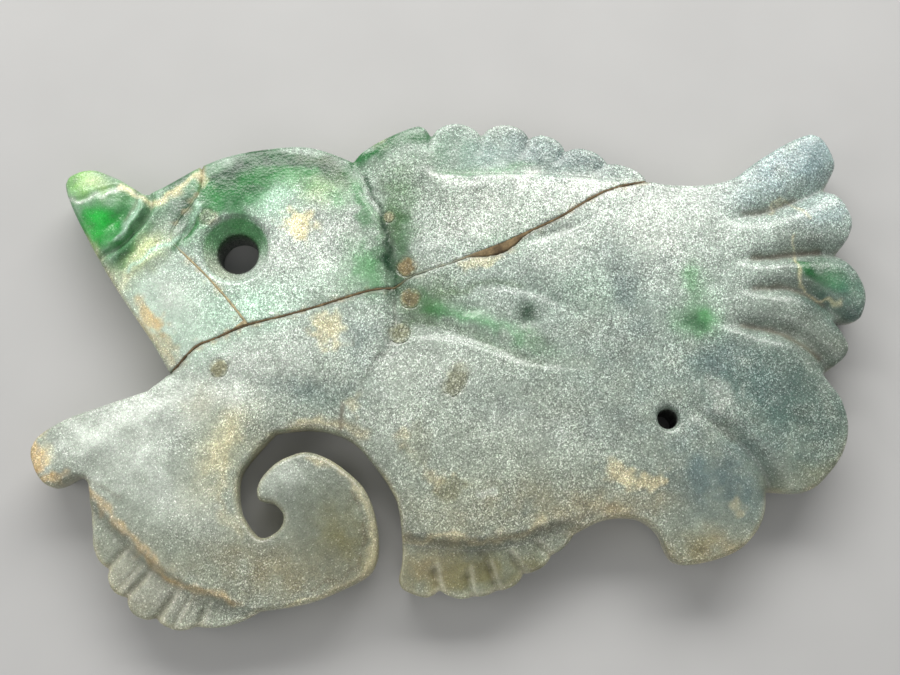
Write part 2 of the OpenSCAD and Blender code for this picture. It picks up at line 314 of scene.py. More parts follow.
# (points from the edge inwards, depth, half width)
CREST_CREASES = [
    ([(-2.4, 37.4), (-2.8, 35.4), (-3, 33)], 0.25, 0.5),
    ([(4.8, 37.8), (4.4, 34.6), (3.6, 32.6)], 0.28, 0.5),
    ([(12.2, 37.5), (11.2, 34.4), (10, 32.6)], 0.28, 0.5),
    ([(17.9, 35.2), (16.4, 33), (15, 32)], 0.25, 0.5),
    ([(24.2, 33), (22.4, 31.4), (21, 30.8)], 0.22, 0.45),
]
CHIN_CREASES = [
    ([(-48.6, -28.2), (-46.2, -25.6), (-44.6, -24.2)], 0.8, 0.55),
    ([(-46.2, -30.2), (-44.4, -28.2), (-43.2, -26.8)], 0.35, 0.4),
    ([(-45.6, -31.9), (-42.9, -29), (-41.2, -27)], 0.85, 0.55),
    ([(-41, -35), (-38.9, -31.8), (-37.6, -29.4)], 0.85, 0.55),
    ([(-38, -34.8), (-36.8, -32.4), (-36, -31)], 0.35, 0.4),
    ([(-35.2, -36.2), (-34.2, -33.6), (-33.6, -31.8)], 0.8, 0.55),
]
BELLY_CREASES = [
    ([(-1.3, -31.2), (-2, -29), (-2.4, -26.6)], 0.75, 0.6),
    ([(3.4, -32), (2.6, -29.6), (2.2, -27)], 0.65, 0.55),
    ([(6.9, -31.2), (5.8, -28.6), (5, -26)], 0.85, 0.6),
    ([(10.8, -28.8), (9, -26.4), (7.9, -24.6)], 0.8, 0.6),
    ([(14.8, -26.2), (12.6, -24.2), (11.4, -23.2)], 0.6, 0.5),
]
TAIL_GROOVES = [
    ([(39.2, 22.6), (45.6, 24.2), (51.5, 26.4), (57, 29.2)], 2.0, 1.4),
    ([(40, 16.5), (46.3, 17.4), (53.2, 18.2), (58.6, 18.4)], 1.9, 1.2),
    ([(40.6, 11.8), (46, 12.7), (51.4, 12.2), (57.6, 7.4)], 1.7, 1.2),
    ([(36.6, 7.4), (44, 6.9), (50.7, 5), (55.6, -0.8)], 2.2, 1.4),
    ([(32.4, -5.7), (36, -6.4), (40.9, -10.2), (44.2, -14.4), (45.6, -18.6)], 2.2, 1.5),
]


def around(p, line, reach):
    """The indices of the points within reach of a line's box."""
    return np.flatnonzero(((p > line.min(0) - reach) & (p < line.max(0) + reach)).all(1))


def groove(p, points, depth, width, start=1.0, end=1.0, power=2.0):
    """A valley along a curve, cut to start and end of its depth at its ends. A low power makes its
    bottom sharp."""
    line = curve(points)
    near = around(p, line, 3 * width)
    d, _, t = nearest(p[near], to_segments(line))
    share = (start + (1 - start) * smooth(t / 0.4)) * (end + (1 - end) * smooth((1 - t) / 0.4))
    cut = np.zeros(len(p))
    cut[near] = depth * share * bell(d / (width * (0.55 + 0.45 * share)), power)
    return cut


def fold(p, points, rise, fall, reach, sharp=0.5, ends=0.2):
    """A step along a curve: rise on its left, fall on its right, both dying away over reach."""
    line = curve(points)
    near = around(p, line, 5 * reach)
    d, side, t = nearest(p[near], to_segments(line))
    s = d * side
    blend = 0.5 + 0.5 * np.tanh(s / sharp)
    step = np.zeros(len(p))
    step[near] = (smooth(t / ends) * smooth((1 - t) / ends) * np.exp(-d / reach)
                  * (rise * blend - fall * (1 - blend)))
    return step


CHIN_ROOT = [(-50.5, -17), (-46.8, -21.3), (-41.3, -26.1), (-36, -29.7), (-29.7, -32.2)]
CHEEK_DIMPLE = [(-36.6, 24), (-38, 21.4), (-39.6, 19.2)]
COLLAR = [(-14.8, 33.4), (-12.7, 27.6), (-10, 23), (-9, 18.4), (-8.5, 13), (-8.5, 7.4), (-9.6, 3),
          (-12.4, -1), (-17, -4.6)]
# Single grooves: (points, depth, half width, share left at the start, share left at the end)
GROOVES = [
    (COLLAR, 0.8, 0.65, 0.4, 0.0),
    # jaw valley from the throat
    ([(-40, -0.2), (-32, -1), (-24, -1.6), (-15, -3), (-6, -5)], 0.55, 2.6, 0.6, 0.0),
    # wing: valley over the belly, valley over the tongue, two dimples, a groove under the seam
    ([(-7, 7.4), (-2, 7.2), (3, 5.6), (8, 3.4), (13, 1.6)], 0.35, 1.2, 0.4, 0.0),
    ([(1.5, 12.4), (6.5, 12.9), (11, 12.4), (15.6, 10.4), (20, 7.4)], 0.3, 1.0, 0.1, 0.0),
    ([(1.6, 8.4), (3, 9.2), (5, 9.4)], 0.45, 0.8, 0.2, 0.2),
    ([(9.4, 7.2), (11, 7.8), (13, 7.6)], 0.4, 1.5, 0.3, 0.3),
    ([(10, 19), (14, 20.4), (20, 22.4)], 0.35, 0.7, 0.2, 0.2),
    # snout: behind the nostril, between the bands, the dimple at the seam, the cheek's edge
    ([(-44.2, 26.8), (-44, 24.6), (-45.6, 21.8), (-48.2, 19), (-51.4, 17)], 1.3, 0.5, 0.7, 0.5),
    ([(-41.6, 26.6), (-42.4, 23), (-45, 19), (-48.6, 15.8)], 0.5, 0.9, 0.3, 0.4),
    (CHEEK_DIMPLE, 1.0, 0.6, 0.3, 0.2),
    ([(-39.4, 18), (-42.6, 15.2), (-46.2, 12.4)], 0.3, 0.8, 0.6, 0.2),
    ([(-47.6, 25.6), (-48.2, 23.6), (-50.6, 21.4)], 0.5, 0.9, 0.3, 0.3),
    ([(-57, 26.3), (-54, 26.2), (-50.6, 27.6), (-48.2, 28.2)], 0.35, 0.4, 0.6, 0.6),
    # brown line at the root of the chin fin
    (CHIN_ROOT, 0.2, 0.5, 0.6, 0.1),
]
# Single ridges, in the same form
RIDGES = [
    ([(-55, -13.6), (-49.1, -10.1), (-45.6, -7.7), (-40, -5), (-34, -4.6)], 0.45, 1.6, 0.5, 0.0),
    ([(-2.6, 9.6), (1.3, 7.9), (5, 7), (7.8, 5.4), (10.6, 3.6), (14, 2.6)], 0.15, 1.2, 0.1, 0.1),
    ([(-45.6, 26.4), (-45.1, 24.4), (-46.8, 21.7), (-49.2, 19.5)], 0.8, 0.5, 0.3, 0.3),
    ([(-46.8, 14.6), (-43, 17.2), (-39.9, 19.8), (-37.9, 22.4), (-36.4, 25)], 0.6, 0.5, 0.3, 0.2),
    ([(-7, 17.4), (-2, 17.8), (2, 18.6)], 0.15, 1.0, 0.2, 0.2),
]
FLUTES = CREST_CREASES + CHIN_CREASES + BELLY_CREASES

# The neck strip behind the collar lies lower than the head and rises again to the nape.
NECK_DROP = 0.65
NECK_REACH = 4.2
NAPE = [(-4.6, 30.4), (-3.2, 26), (-2.4, 21.8), (-0.4, 18.6)]
# The belly stands proud below this line.
BELLY_TOP = [(-8.4, 4.6), (-4.2, 5.2), (0.6, 4.6), (5.7, 3.4), (10.4, 1.4), (15.8, 0.4), (21, 0.6)]
# The snout's tip is a facet of its own, past this line.
SNOUT_FACET = [(-57.2, 26.2), (-53, 27), (-49, 28.4)]
FACET_DROP = 0.6
FACET_END = -46.5


def fin_depth(p, line, far):
    """How far inside a fin's region a point is, past its root line."""
    region = to_segments(np.vstack([line, far, line[:1]]))
    return nearest(p, to_segments(line))[0] * np.where(inside(p, region), 1, -1)


def relief(p, d_edge):
    """The carved face's height over the plan and how much of each place is fin, before the outer
    edge is rounded."""
    x = np.clip(d_edge, 0, CROWN_REACH) / CROWN_REACH
    height = RIM + (CROWN - RIM) * (1 - (1 - x) ** CROWN_POWER)

    d, side, t = nearest(p, to_segments(curve(COLLAR)))
    behind = smooth(d / 0.6) * (side > 0) * bell(d / NECK_REACH)
    height -= NECK_DROP * behind * smooth(t / 0.08) * smooth((1 - t) / 0.35)
    height += fold(p, NAPE, -0.15, 0.35, 2.5)
    height += fold(p, BELLY_TOP, -0.34, -0.2, 2.4, sharp=0.6)

    for points, depth, width, start, end in GROOVES:
        height -= groove(p, points, depth, width, start, end)
    for points, rise, width, start, end in RIDGES:
        height += groove(p, points, rise, width, start, end)
    for points, depth, width in TAIL_GROOVES:
        height -= groove(p, points, depth, width, 0.0, 1.0, power=1.6)
    for points, _, _ in TAIL_GROOVES[3:]:
        height += fold(p, points, 0.3, -0.6, 1.9, sharp=0.6, ends=0.25)

    d, side, _ = nearest(p, to_segments(curve(SNOUT_FACET)))
    height -= FACET_DROP * smooth((d * side + 0.3) / 3.0) * smooth((FACET_END - p[:, 0]) / 2)

    # Fins are ground down past their roots, and fluted.
    finned = np.zeros(len(p))
    for line, far, root_height, start, width, step in FINS:
        past = fin_depth(p, line, far)
        drop = smooth(past / step + 0.4) * smooth((p[:, 0] - start) / width)
        fin = root_height - FIN_SLOPE * np.clip(past, 0, 10)
        height = height * (1 - drop) + np.minimum(height, fin) * drop
        finned = np.maximum(finned, drop)
    for points, depth, width in FLUTES:
        height -= groove(p, points, depth, width, 1.0, 0.0, power=1.3)
    return height, finned


to_eye = np.hypot(*(plan - eye_at).T)
to_cord = np.hypot(*(plan - cord_at).T)
height_plan, finned_plan = relief(plan, to_edge)
round_plan = EDGE_ROUND + (FIN_ROUND - EDGE_ROUND) * finned_plan

# The face dips beside the cord hole, and a hand-worked face is nowhere quite even.
DIP = 0.5
DIP_REACH = 3.0
DIP_FROM_CORD = (1.2, 1.0)
height_plan -= DIP * bell(np.hypot(*(plan - cord_at - DIP_FROM_CORD).T) / DIP_REACH)
height_plan += 0.10 * rough_noise(plan, 9.0, 3) + 0.04 * rough_noise(plan, 2.2, 5)
height_plan += 0.02 * noise(plan, 0.9, 7)
height_plan = np.minimum(height_plan, CROWN + 0.05)

# The radius of each packed pit
PITS = {
    "collar_pit_fill_1": 0.8, "collar_pit_fill_2": 1.4, "collar_pit_fill_3": 1.5, "collar_pit_fill_4": 1.5,
    "brow_pit_fill": 1.2, "throat_pit_fill": 1.3, "flank_pit_fill": 2.0,
}
PIT_SINK = 0.3
FLANK_TURN = math.radians(62)
FLANK_STRETCH = 1.28


def node_middle(name):
    """The middle of a CAD node in plan."""
    a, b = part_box(name)
    return (np.array(a[:2]) + np.array(b[:2])) / 2 / MM


def turned(rel, name):
    """Places around a pit with the long flank pit squeezed to a circle."""
    if name != "flank_pit_fill":
        return rel
    c, s = math.cos(FLANK_TURN), math.sin(FLANK_TURN)
    u = (rel[:, 0] * c + rel[:, 1] * s) / FLANK_STRETCH
    v = (-rel[:, 0] * s + rel[:, 1] * c) * FLANK_STRETCH
    return np.stack([u, v], -1)


def pit_depth(name, p):
    """How deep a pit is sunk at each point, with a ragged rim."""
    wobble = 1 + 0.16 * noise(p, 0.7, 21)
    r = np.hypot(*turned(p - node_middle(name), name).T) / (PITS[name] * wobble)
    return PIT_SINK * (1 - smooth((r - 0.78) / 0.40))


open_height = height_plan.copy()
for name in PITS:
    height_plan -= pit_depth(name, plan)


# ---------------------------------------------------------------- meshes

def rounded(away, up, r):
    """Distance field of a rounded edge from how far past it a point is sideways and upwards."""
    a = away + r
    b = up + r
    return np.hypot(np.maximum(a, 0), np.maximum(b, 0)) + np.minimum(np.maximum(a, b), 0) - r


def soft_max(a, b, k):
    """The larger of two distances, with the crease between them eased over k."""
    h = np.clip(0.5 + 0.5 * (a - b) / k, 0, 1)
    return b * (1 - h) + a * h + k * h * (1 - h)


EYE_TOP = 8.1
EYE_SINK = 2.6
EYE_FLARE = 1.9
EYE_EASE = 0.12
CORD_TOP = 7.2
CORD_FLARE = 0.35
CORD_EASE = 0.3


def stone_field():
    """The whole plaque's distance field on the grid, negative inside."""
    shape = (len(xs), len(ys))
    top = height_plan.reshape(shape)
    edge = to_edge.reshape(shape)
    eye = to_eye.reshape(shape)
    cord = to_cord.reshape(shape)
    turn = round_plan.reshape(shape)
    field = np.empty(shape + (len(zs),), np.float32)
    for k, z in enumerate(zs):
        lean = WALL_LEAN * smooth((WALL_LEAN_TOP - z) / WALL_LEAN_TOP)
        f = rounded(lean - edge, z - top, turn)
        f = np.maximum(f, rounded(lean - edge, -z, BACK_ROUND))
        sink = np.clip((z - (EYE_TOP - EYE_SINK)) / EYE_SINK, 0, 1.3)
        f = soft_max(f, eye_r + EYE_FLARE * sink + 0.4 * np.clip(0.6 - z, 0, 1) - eye, EYE_EASE)
        flare = CORD_FLARE * np.clip((z - CORD_TOP) / 1.2, 0, 1) ** 2
        f = soft_max(f, cord_r + flare - cord, CORD_EASE)
        field[:, :, k] = f
    return field


def surface(field):
    """Closed quad mesh of a field's zero level: one vertex per crossed cell, set among its crossings."""
    neg = field < 0
    cells = tuple(n - 1 for n in field.shape)
    total = np.zeros(cells + (3,))
    count = np.zeros(cells)
    step = np.eye(3, dtype=int)
    base = np.stack(np.meshgrid(*[np.arange(n) for n in field.shape], indexing="ij"), -1).astype(float)
    crossings = []
    for axis in range(3):
        here = [slice(None)] * 3
        there = [slice(None)] * 3
        here[axis] = slice(None, -1)
        there[axis] = slice(1, None)
        f0, f1 = field[tuple(here)], field[tuple(there)]
        crossed = neg[tuple(here)] != neg[tuple(there)]
        index = np.argwhere(crossed)
        a, b = f0[crossed], f1[crossed]
        point = index + (a / (a - b))[:, None] * step[axis]
        u, v = [k for k in range(3) if k != axis]
        for du in (0, 1):
            for dv in (0, 1):
                cell = index - du * step[u] - dv * step[v]
                ok = ((cell >= 0) & (cell < np.array(cells))).all(1)
                c = cell[ok]
                np.add.at(total, tuple(c.T), point[ok])
                np.add.at(count, tuple(c.T), 1)
        crossings.append((axis, index, a < 0))
    used = count > 0
    number = np.full(cells, -1)
    number[used] = np.arange(used.sum())
    points = total[used] / count[used][:, None]
    quads = []
    for axis, index, leaving in crossings:
        u, v = (axis + 1) % 3, (axis + 2) % 3
        corners = [index - du * step[u] - dv * step[v] for du, dv in ((0, 0), (1, 0), (1, 1), (0, 1))]
        quad = np.stack([number[tuple(c.T)] for c in corners], 1)
        quad[~leaving] = quad[~leaving][:, ::-1]
        quads.append(quad)
    return points, np.vstack(quads)


def sample(values, p):
    """Bilinear reading of a plan field at points (n, 2)."""
    grid = values.reshape(len(xs), len(ys))
    gx = np.clip((p[:, 0] - xs[0]) / GRID, 0, len(xs) - 1.001)
    gy = np.clip((p[:, 1] - ys[0]) / GRID, 0, len(ys) - 1.001)
    i, j = gx.astype(int), gy.astype(int)
    fx, fy = gx - i, gy - j
    return ((grid[i, j] * (1 - fx) + grid[i + 1, j] * fx) * (1 - fy)
            + (grid[i, j + 1] * (1 - fx) + grid[i + 1, j + 1] * fx) * fy)


def new_piece(name, points, faces, nodes, material):
    """A smooth-shaded object in place of CAD nodes, from points in millimetres and lists of faces."""
    mesh = bpy.data.meshes.new(name)
    mesh.from_pydata((np.asarray(points) * MM).tolist(), [], faces)
    mesh.validate()
    mesh.update()
    obj = bpy.data.objects.new(name, mesh)
    bpy.context.scene.collection.objects.link(obj)
    mesh.materials.append(material)
    mesh.polygons.foreach_set("use_smooth", [True] * len(mesh.polygons))
    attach(obj, "root")
    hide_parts(*nodes)
    return obj


stone = stone_field()
COLUMN_SHAPE = (len(xs), len(ys), 1)

# How far a fragment reaches past its CAD edge, into the seams beside it
LIP_REACH = 0.06
HAIRLINE_REACH = 0.135


def tight_stretch(p):
    """1 where the long seam has nearly closed, just behind the collar."""
    return bell((p[:, 0] + 3.5) / 5.5, 4)


def fragment_mesh(name):
    """A fragment: the stone up to its broken edges, whose rims are worn and chipped a little."""
    past = -broken_depth(name, plan)
    lip = LIP_REACH - 0.08 * rough_noise(plan, 1.5, 31) + 0.05 * tight_stretch(plan)
    worn = 0.03 + 0.10 * np.maximum(rough_noise(plan, 2.2, 33), -0.3)
    if name != "body_fragment":
        to_snout = nearest(plan, edges["snout_fragment"][1])[0]
        hairline = to_snout < nearest(plan, edges["body_fragment"][1])[0]
        worn = np.where(hairline, 0.0, worn)
        closed = HAIRLINE_REACH + 0.05 * smooth((plan[:, 1] - 16) / 2)
        lip = np.where(hairline, closed, lip)
    past = past - lip
    field = np.maximum(stone, past.reshape(COLUMN_SHAPE))
    bevel = (stone + (past + worn).reshape(COLUMN_SHAPE)) / math.sqrt(2)
    points, quads = surface(np.maximum(field, bevel))
    return points * (GRID, GRID, GRID_Z) + (xs[0], ys[0], zs[0]), quads.tolist()


# ---------------------------------------------------------------- colour

def srgb(r, g, b):
    """A display colour (0 to 255) as linear light."""
    c = np.array([r, g, b]) / 255
    return np.where(c < 0.04045, c / 12.92, ((c + 0.055) / 1.055) ** 2.4)


PALE = srgb(158, 173, 163)
LOW = srgb(148, 158, 144)
MILK = srgb(206, 214, 204)
SNOW = srgb(214, 223, 213)
MINT = srgb(192, 228, 204)
GREEN = srgb(44, 136, 62)
LIME = srgb(128, 196, 96)
DEEP = srgb(22, 70, 40)
LEAF = srgb(98, 164, 106)
MOSS = srgb(92, 116, 84)
TEAL = srgb(78, 106, 99)
SKY = srgb(102, 120, 118)
MIST = srgb(150, 174, 178)
CREAM = srgb(240, 232, 186)
STRAW = srgb(198, 190, 154)
TAN = srgb(160, 138, 100)
BROWN = srgb(92, 76, 52)
OLIVE = srgb(122, 120, 86)
SMOKE = srgb(116, 124, 112)
KHAKI = srgb(142, 138, 112)
WARM = srgb(154, 142, 108)
GOLD = srgb(212, 178, 118)
VIVID = srgb(34, 188, 66)
# The dark of the painted shade inside the drilled holes
HOLE_SHADE = srgb(30, 32, 26)
BONE = srgb(206, 204, 182)
LEMON = srgb(210, 224, 170)
FOREST = srgb(28, 108, 50)

# The earth's colour in the middle of each pit
PIT_EARTH = {
    "collar_pit_fill_1": srgb(138, 138, 108),
    "collar_pit_fill_2": srgb(124, 112, 80),
    "collar_pit_fill_3": srgb(120, 114, 84),
    "collar_pit_fill_4": srgb(126, 130, 106),
    "brow_pit_fill": srgb(128, 146, 122),
    "throat_pit_fill": srgb(150, 150, 122),
    "flank_pit_fill": srgb(130, 134, 114),
}

# Clouds of colour in the stone: (colour, (x, y), (half length, half width), turn, strength)
CLOUDS = [
    # back and belly
    (SNOW, (15, 26), (20, 4), 4, 0.6),
    (MOSS, (0, 24), (4, 4), 0, 0.3),
    (LEAF, (8, 19.6), (5, 2), 20, 0.2),
    (LEAF, (19, 12), (8, 3), -10, 0.15),
    (SNOW, (33, 23), (10, 5), 0, 0.45),
    (SKY, (31, 17), (3, 2), 30, 0.3),
    (SKY, (22.4, 19), (3.4, 1.6), 30, 0.25),
    (MILK, (30, 18), (8, 6), 0, 0.25),
    (MILK, (16, 18), (8, 3), 20, 0.4),
    (LEAF, (10, 24), (5, 3), 0, 0.15),
    (MILK, (5, 23), (9, 4), 8, 0.55),
    (SMOKE, (4, 27), (6, 1.6), 0, 0.3),
    (MILK, (-3, 15.6), (3, 2), 0, 0.3),
    (MILK, (-4, 1.4), (10, 4), -10, 0.4),
    (MILK, (-8, -6), (6, 6), -40, 0.25),
    (SKY, (14, 12), (9, 4), -12, 0.3),
    (SKY, (25, 12), (3, 8), 5, 0.5),
    (SKY, (30, 8), (4, 4), 0, 0.4),
    (SKY, (37, 0), (3, 2.4), -30, 0.7),
    (SKY, (24, -1), (12, 6), -15, 0.3),
    (SKY, (6, -4), (8, 3), -8, 0.2),
    (SKY, (22, -8.4), (7, 4), 0, 0.35),
    (MILK, (12, -8), (12, 5), -6, 0.2),
    (SMOKE, (18, -17), (16, 3.4), 4, 0.4),
    (KHAKI, (8, -19), (16, 4), 3, 0.5),
    (TEAL, (41, 0), (8, 6), -20, 0.6),
    (TEAL, (50, -5), (10, 9), 10, 1.0),
    (SKY, (40, 2), (4, 2.4), -30, 0.5),
    (OLIVE, (50, -14.8), (8, 2.4), 12, 0.45),
    (SKY, (46, -2), (3, 2), 20, 0.35),
    (SMOKE, (52, -6.4), (6, 5), 10, 0.35),
    (SKY, (38, -15), (9, 7), -20, 0.9),
    (WARM, (37, -25), (10, 3), 8, 0.6),
    (OLIVE, (33, -25), (4, 3), 8, 0.45),
    (WARM, (22, -19.4), (8, 2), 10, 0.6),
    # tail lobes
    (MIST, (51, 32), (9, 4), 32, 0.95),
    (SKY, (51.6, 32.2), (8, 3.6), 32, 0.45),
    (MIST, (56, 23.4), (5, 4), 0, 0.5),
    (SMOKE, (53, 20), (5, 2), 0, 0.5),
    (SMOKE, (55, 10), (9, 9), 0, 0.75),
    (FOREST, (58, 12), (2.4, 3), 0, 0.3),
    (TEAL, (52, 10.4), (3.4, 1.6), -10, 0.5),
    (TEAL, (57.4, 11), (6, 6), 0, 0.85),
    (SMOKE, (54, 4), (6, 3), -30, 0.5),
    # head
    (SNOW, (-21, 16), (12, 8), 10, 0.6),
    (MILK, (-14.6, 22), (3, 4), 0, 0.35),
    (MINT, (-39, 9), (10, 6), -45, 1.0),
    (SNOW, (-39, 10), (8, 5), -45, 0.9),
    (MINT, (-28, 10), (10, 4), 15, 0.8),
    (LEAF, (-30, 29.4), (12, 3.6), 5, 1.0),
    (FOREST, (-31.4, 26.6), (5, 3.4), 20, 0.9),
    (GREEN, (-29.4, 27), (3.6, 2.4), 20, 0.75),
    (GREEN, (-26, 30), (3.6, 1.6), 10, 0.8),
    (GREEN, (-36.4, 22.5), (1.8, 4.2), 15, 0.6),
    (MINT, (-24.5, 25.6), (4, 2.6), 30, 0.7),
    (LEMON, (-19.4, 27.4), (3.0, 2.4), 0, 0.5),
    (LEAF, (-21, 28.6), (4.4, 2.2), -10, 0.55),
    (LEAF, (-16.4, 25.4), (1.6, 2.4), 20, 0.5),
    (GREEN, (-14.6, 18.6), (1.4, 1.8), 30, 0.2),
    (MOSS, (-16.6, 11.6), (3, 1.6), 20, 0.35),
    (LEAF, (-13.5, 15), (3.4, 4), 0, 0.4),
    (GREEN, (-11, 15), (1.6, 5.4), 10, 0.35),
    (MOSS, (-7.8, 21.4), (3.0, 10), 8, 0.72),
    (GREEN, (-7.6, 24), (2.2, 7), 8, 0.25),
    (GREEN, (-14, 27), (1.1, 5.4), 24, 0.55),
    (MOSS, (-3.6, 29.6), (5, 4.4), 20, 0.3),
    (MOSS, (-6, 31), (4, 3), 20, 0.35),
    (OLIVE, (-17, 29.8), (2.0, 1.4), 0, 0.25),
    (LEAF, (-21, 30.6), (3.2, 1.2), 0, 0.6),
    # snout
    (GREEN, (-51.4, 21.6), (5.6, 7), 0, 1.0),
    (LEAF, (-46.4, 24), (4.4, 4.4), 0, 0.8),
    (LIME, (-54.2, 29), (4.6, 2.3), -8, 1.0),
    (CREAM, (-52.4, 29), (2.4, 1.2), 0, 0.35),
    (FOREST, (-49.4, 23.4), (3.2, 3.2), 20, 0.6),
    (VIVID, (-51, 22.2), (2.2, 3.2), 25, 1.0),
    # Pale mint nostril facet, partly a painted highlight where it catches the light
    (MINT, (-46.5, 23.4), (2.2, 0.9), 55, 0.6),
    (GREEN, (-46.4, 17.6), (3.6, 1.6), 50, 0.8),
    (DEEP, (-47.8, 16.8), (2.4, 1.0), 50, 0.7),
    (DEEP, (-39, 24.8), (2.8, 1.2), 45, 0.7),
    (MINT, (-42.4, 19.6), (3.0, 0.7), 50, 0.4),
    (GREEN, (-37.6, 21.8), (0.9, 2.4), -30, 0.6),
    (LEMON, (-43.8, 17.2), (4, 1.8), 50, 0.95),
    (OLIVE, (-42.2, 20), (1.6, 0.8), 50, 0.5),
    (CREAM, (-47, 13.6), (1.8, 1.2), 50, 0.6),
    # crest
    (LEAF, (1, 34), (6, 2.6), 0, 0.35),
    (MIST, (9, 33.4), (10, 2.6), -4, 0.4),
    (SKY, (17, 33), (12, 2.6), -12, 0.7),
    (TEAL, (14.4, 31.4), (2.4, 1), 0, 0.7),
    (LEAF, (6, 30.8), (6, 0.9), 0, 0.5),
    # wing and flank
    (LEAF, (5.4, 6.8), (9, 1.6), -22, 0.45),
    (MINT, (8, 6), (5, 1.2), -22, 0.2),
    (MOSS, (-4, 10), (4, 4), 0, 0.7),
    (FOREST, (-8.2, 14.6), (1.4, 2.6), 0, 0.65),
    (GREEN, (-5.4, 11.6), (1.8, 1.6), 0, 0.35),
    (FOREST, (-7, 19.5), (1.6, 3), 10, 0.35),
    (LEAF, (-1, 9.4), (4, 1.4), -20, 0.4),
    (DEEP, (10.9, 8.6), (1.8, 1.5), 0, 0.7),
    (MOSS, (-1, 13.4), (3, 2.4), 0, 0.5),
    (MOSS, (11.4, 4.8), (3.4, 1.5), -22, 0.35),
    (LEAF, (35.6, 13.4), (1.8, 3), 10, 0.55),
    (LEAF, (35.4, 7.9), (2.8, 2.6), 20, 0.75),
    (DEEP, (52.2, 15), (2.6, 1.5), -12, 0.9),
    (GREEN, (55.6, 13.4), (3.4, 2), -20, 0.3),
    # jaw and tusk
    (SNOW, (-48, -7), (9, 3.6), 25, 0.95),
    (SNOW, (-38, -4), (8, 4), 20, 0.6),
    (SNOW, (-30, -1), (9, 4.6), 15, 0.75),
    (SNOW, (-26, 3), (8, 3), 15, 0.4),
    (SKY, (-21, -1.8), (8, 1.8), -4, 0.6),
    (TEAL, (-16.4, -3.6), (5, 1.6), -6, 0.5),
    (SKY, (-12.6, 4), (2.4, 5), 15, 0.4),
    # chin and curl
    (SNOW, (-43, -13), (7, 6), -30, 0.75),
    (MILK, (-35, -20), (7, 4), -30, 0.5),
    (CREAM, (-31.8, -11), (3.0, 6.4), -25, 0.6),
    (STRAW, (-34.6, -4), (3, 3), 60, 0.25),
    (KHAKI, (-20, -27), (15, 6), 0, 0.9),
    (SMOKE, (-18, -18), (9, 9), 0, 0.8),
    (MILK, (-23, -14), (4, 2.6), 30, 0.4),
    (OLIVE, (-14.6, -21.6), (3.6, 4.6), 20, 0.75),
    (SMOKE, (-26, -22), (3, 2.4), 20, 0.35),
    (SMOKE, (-37, -24), (5, 3), -35, 0.4),
    (KHAKI, (-42, -30), (10, 4.4), -40, 0.8),
    (MILK, (-41, -30), (9, 3.4), -40, 0.35),
    (OLIVE, (4, -27.6), (15, 3.6), 3, 1.0),
    (WARM, (-4, -27), (5, 3.4), 3, 0.5),
]
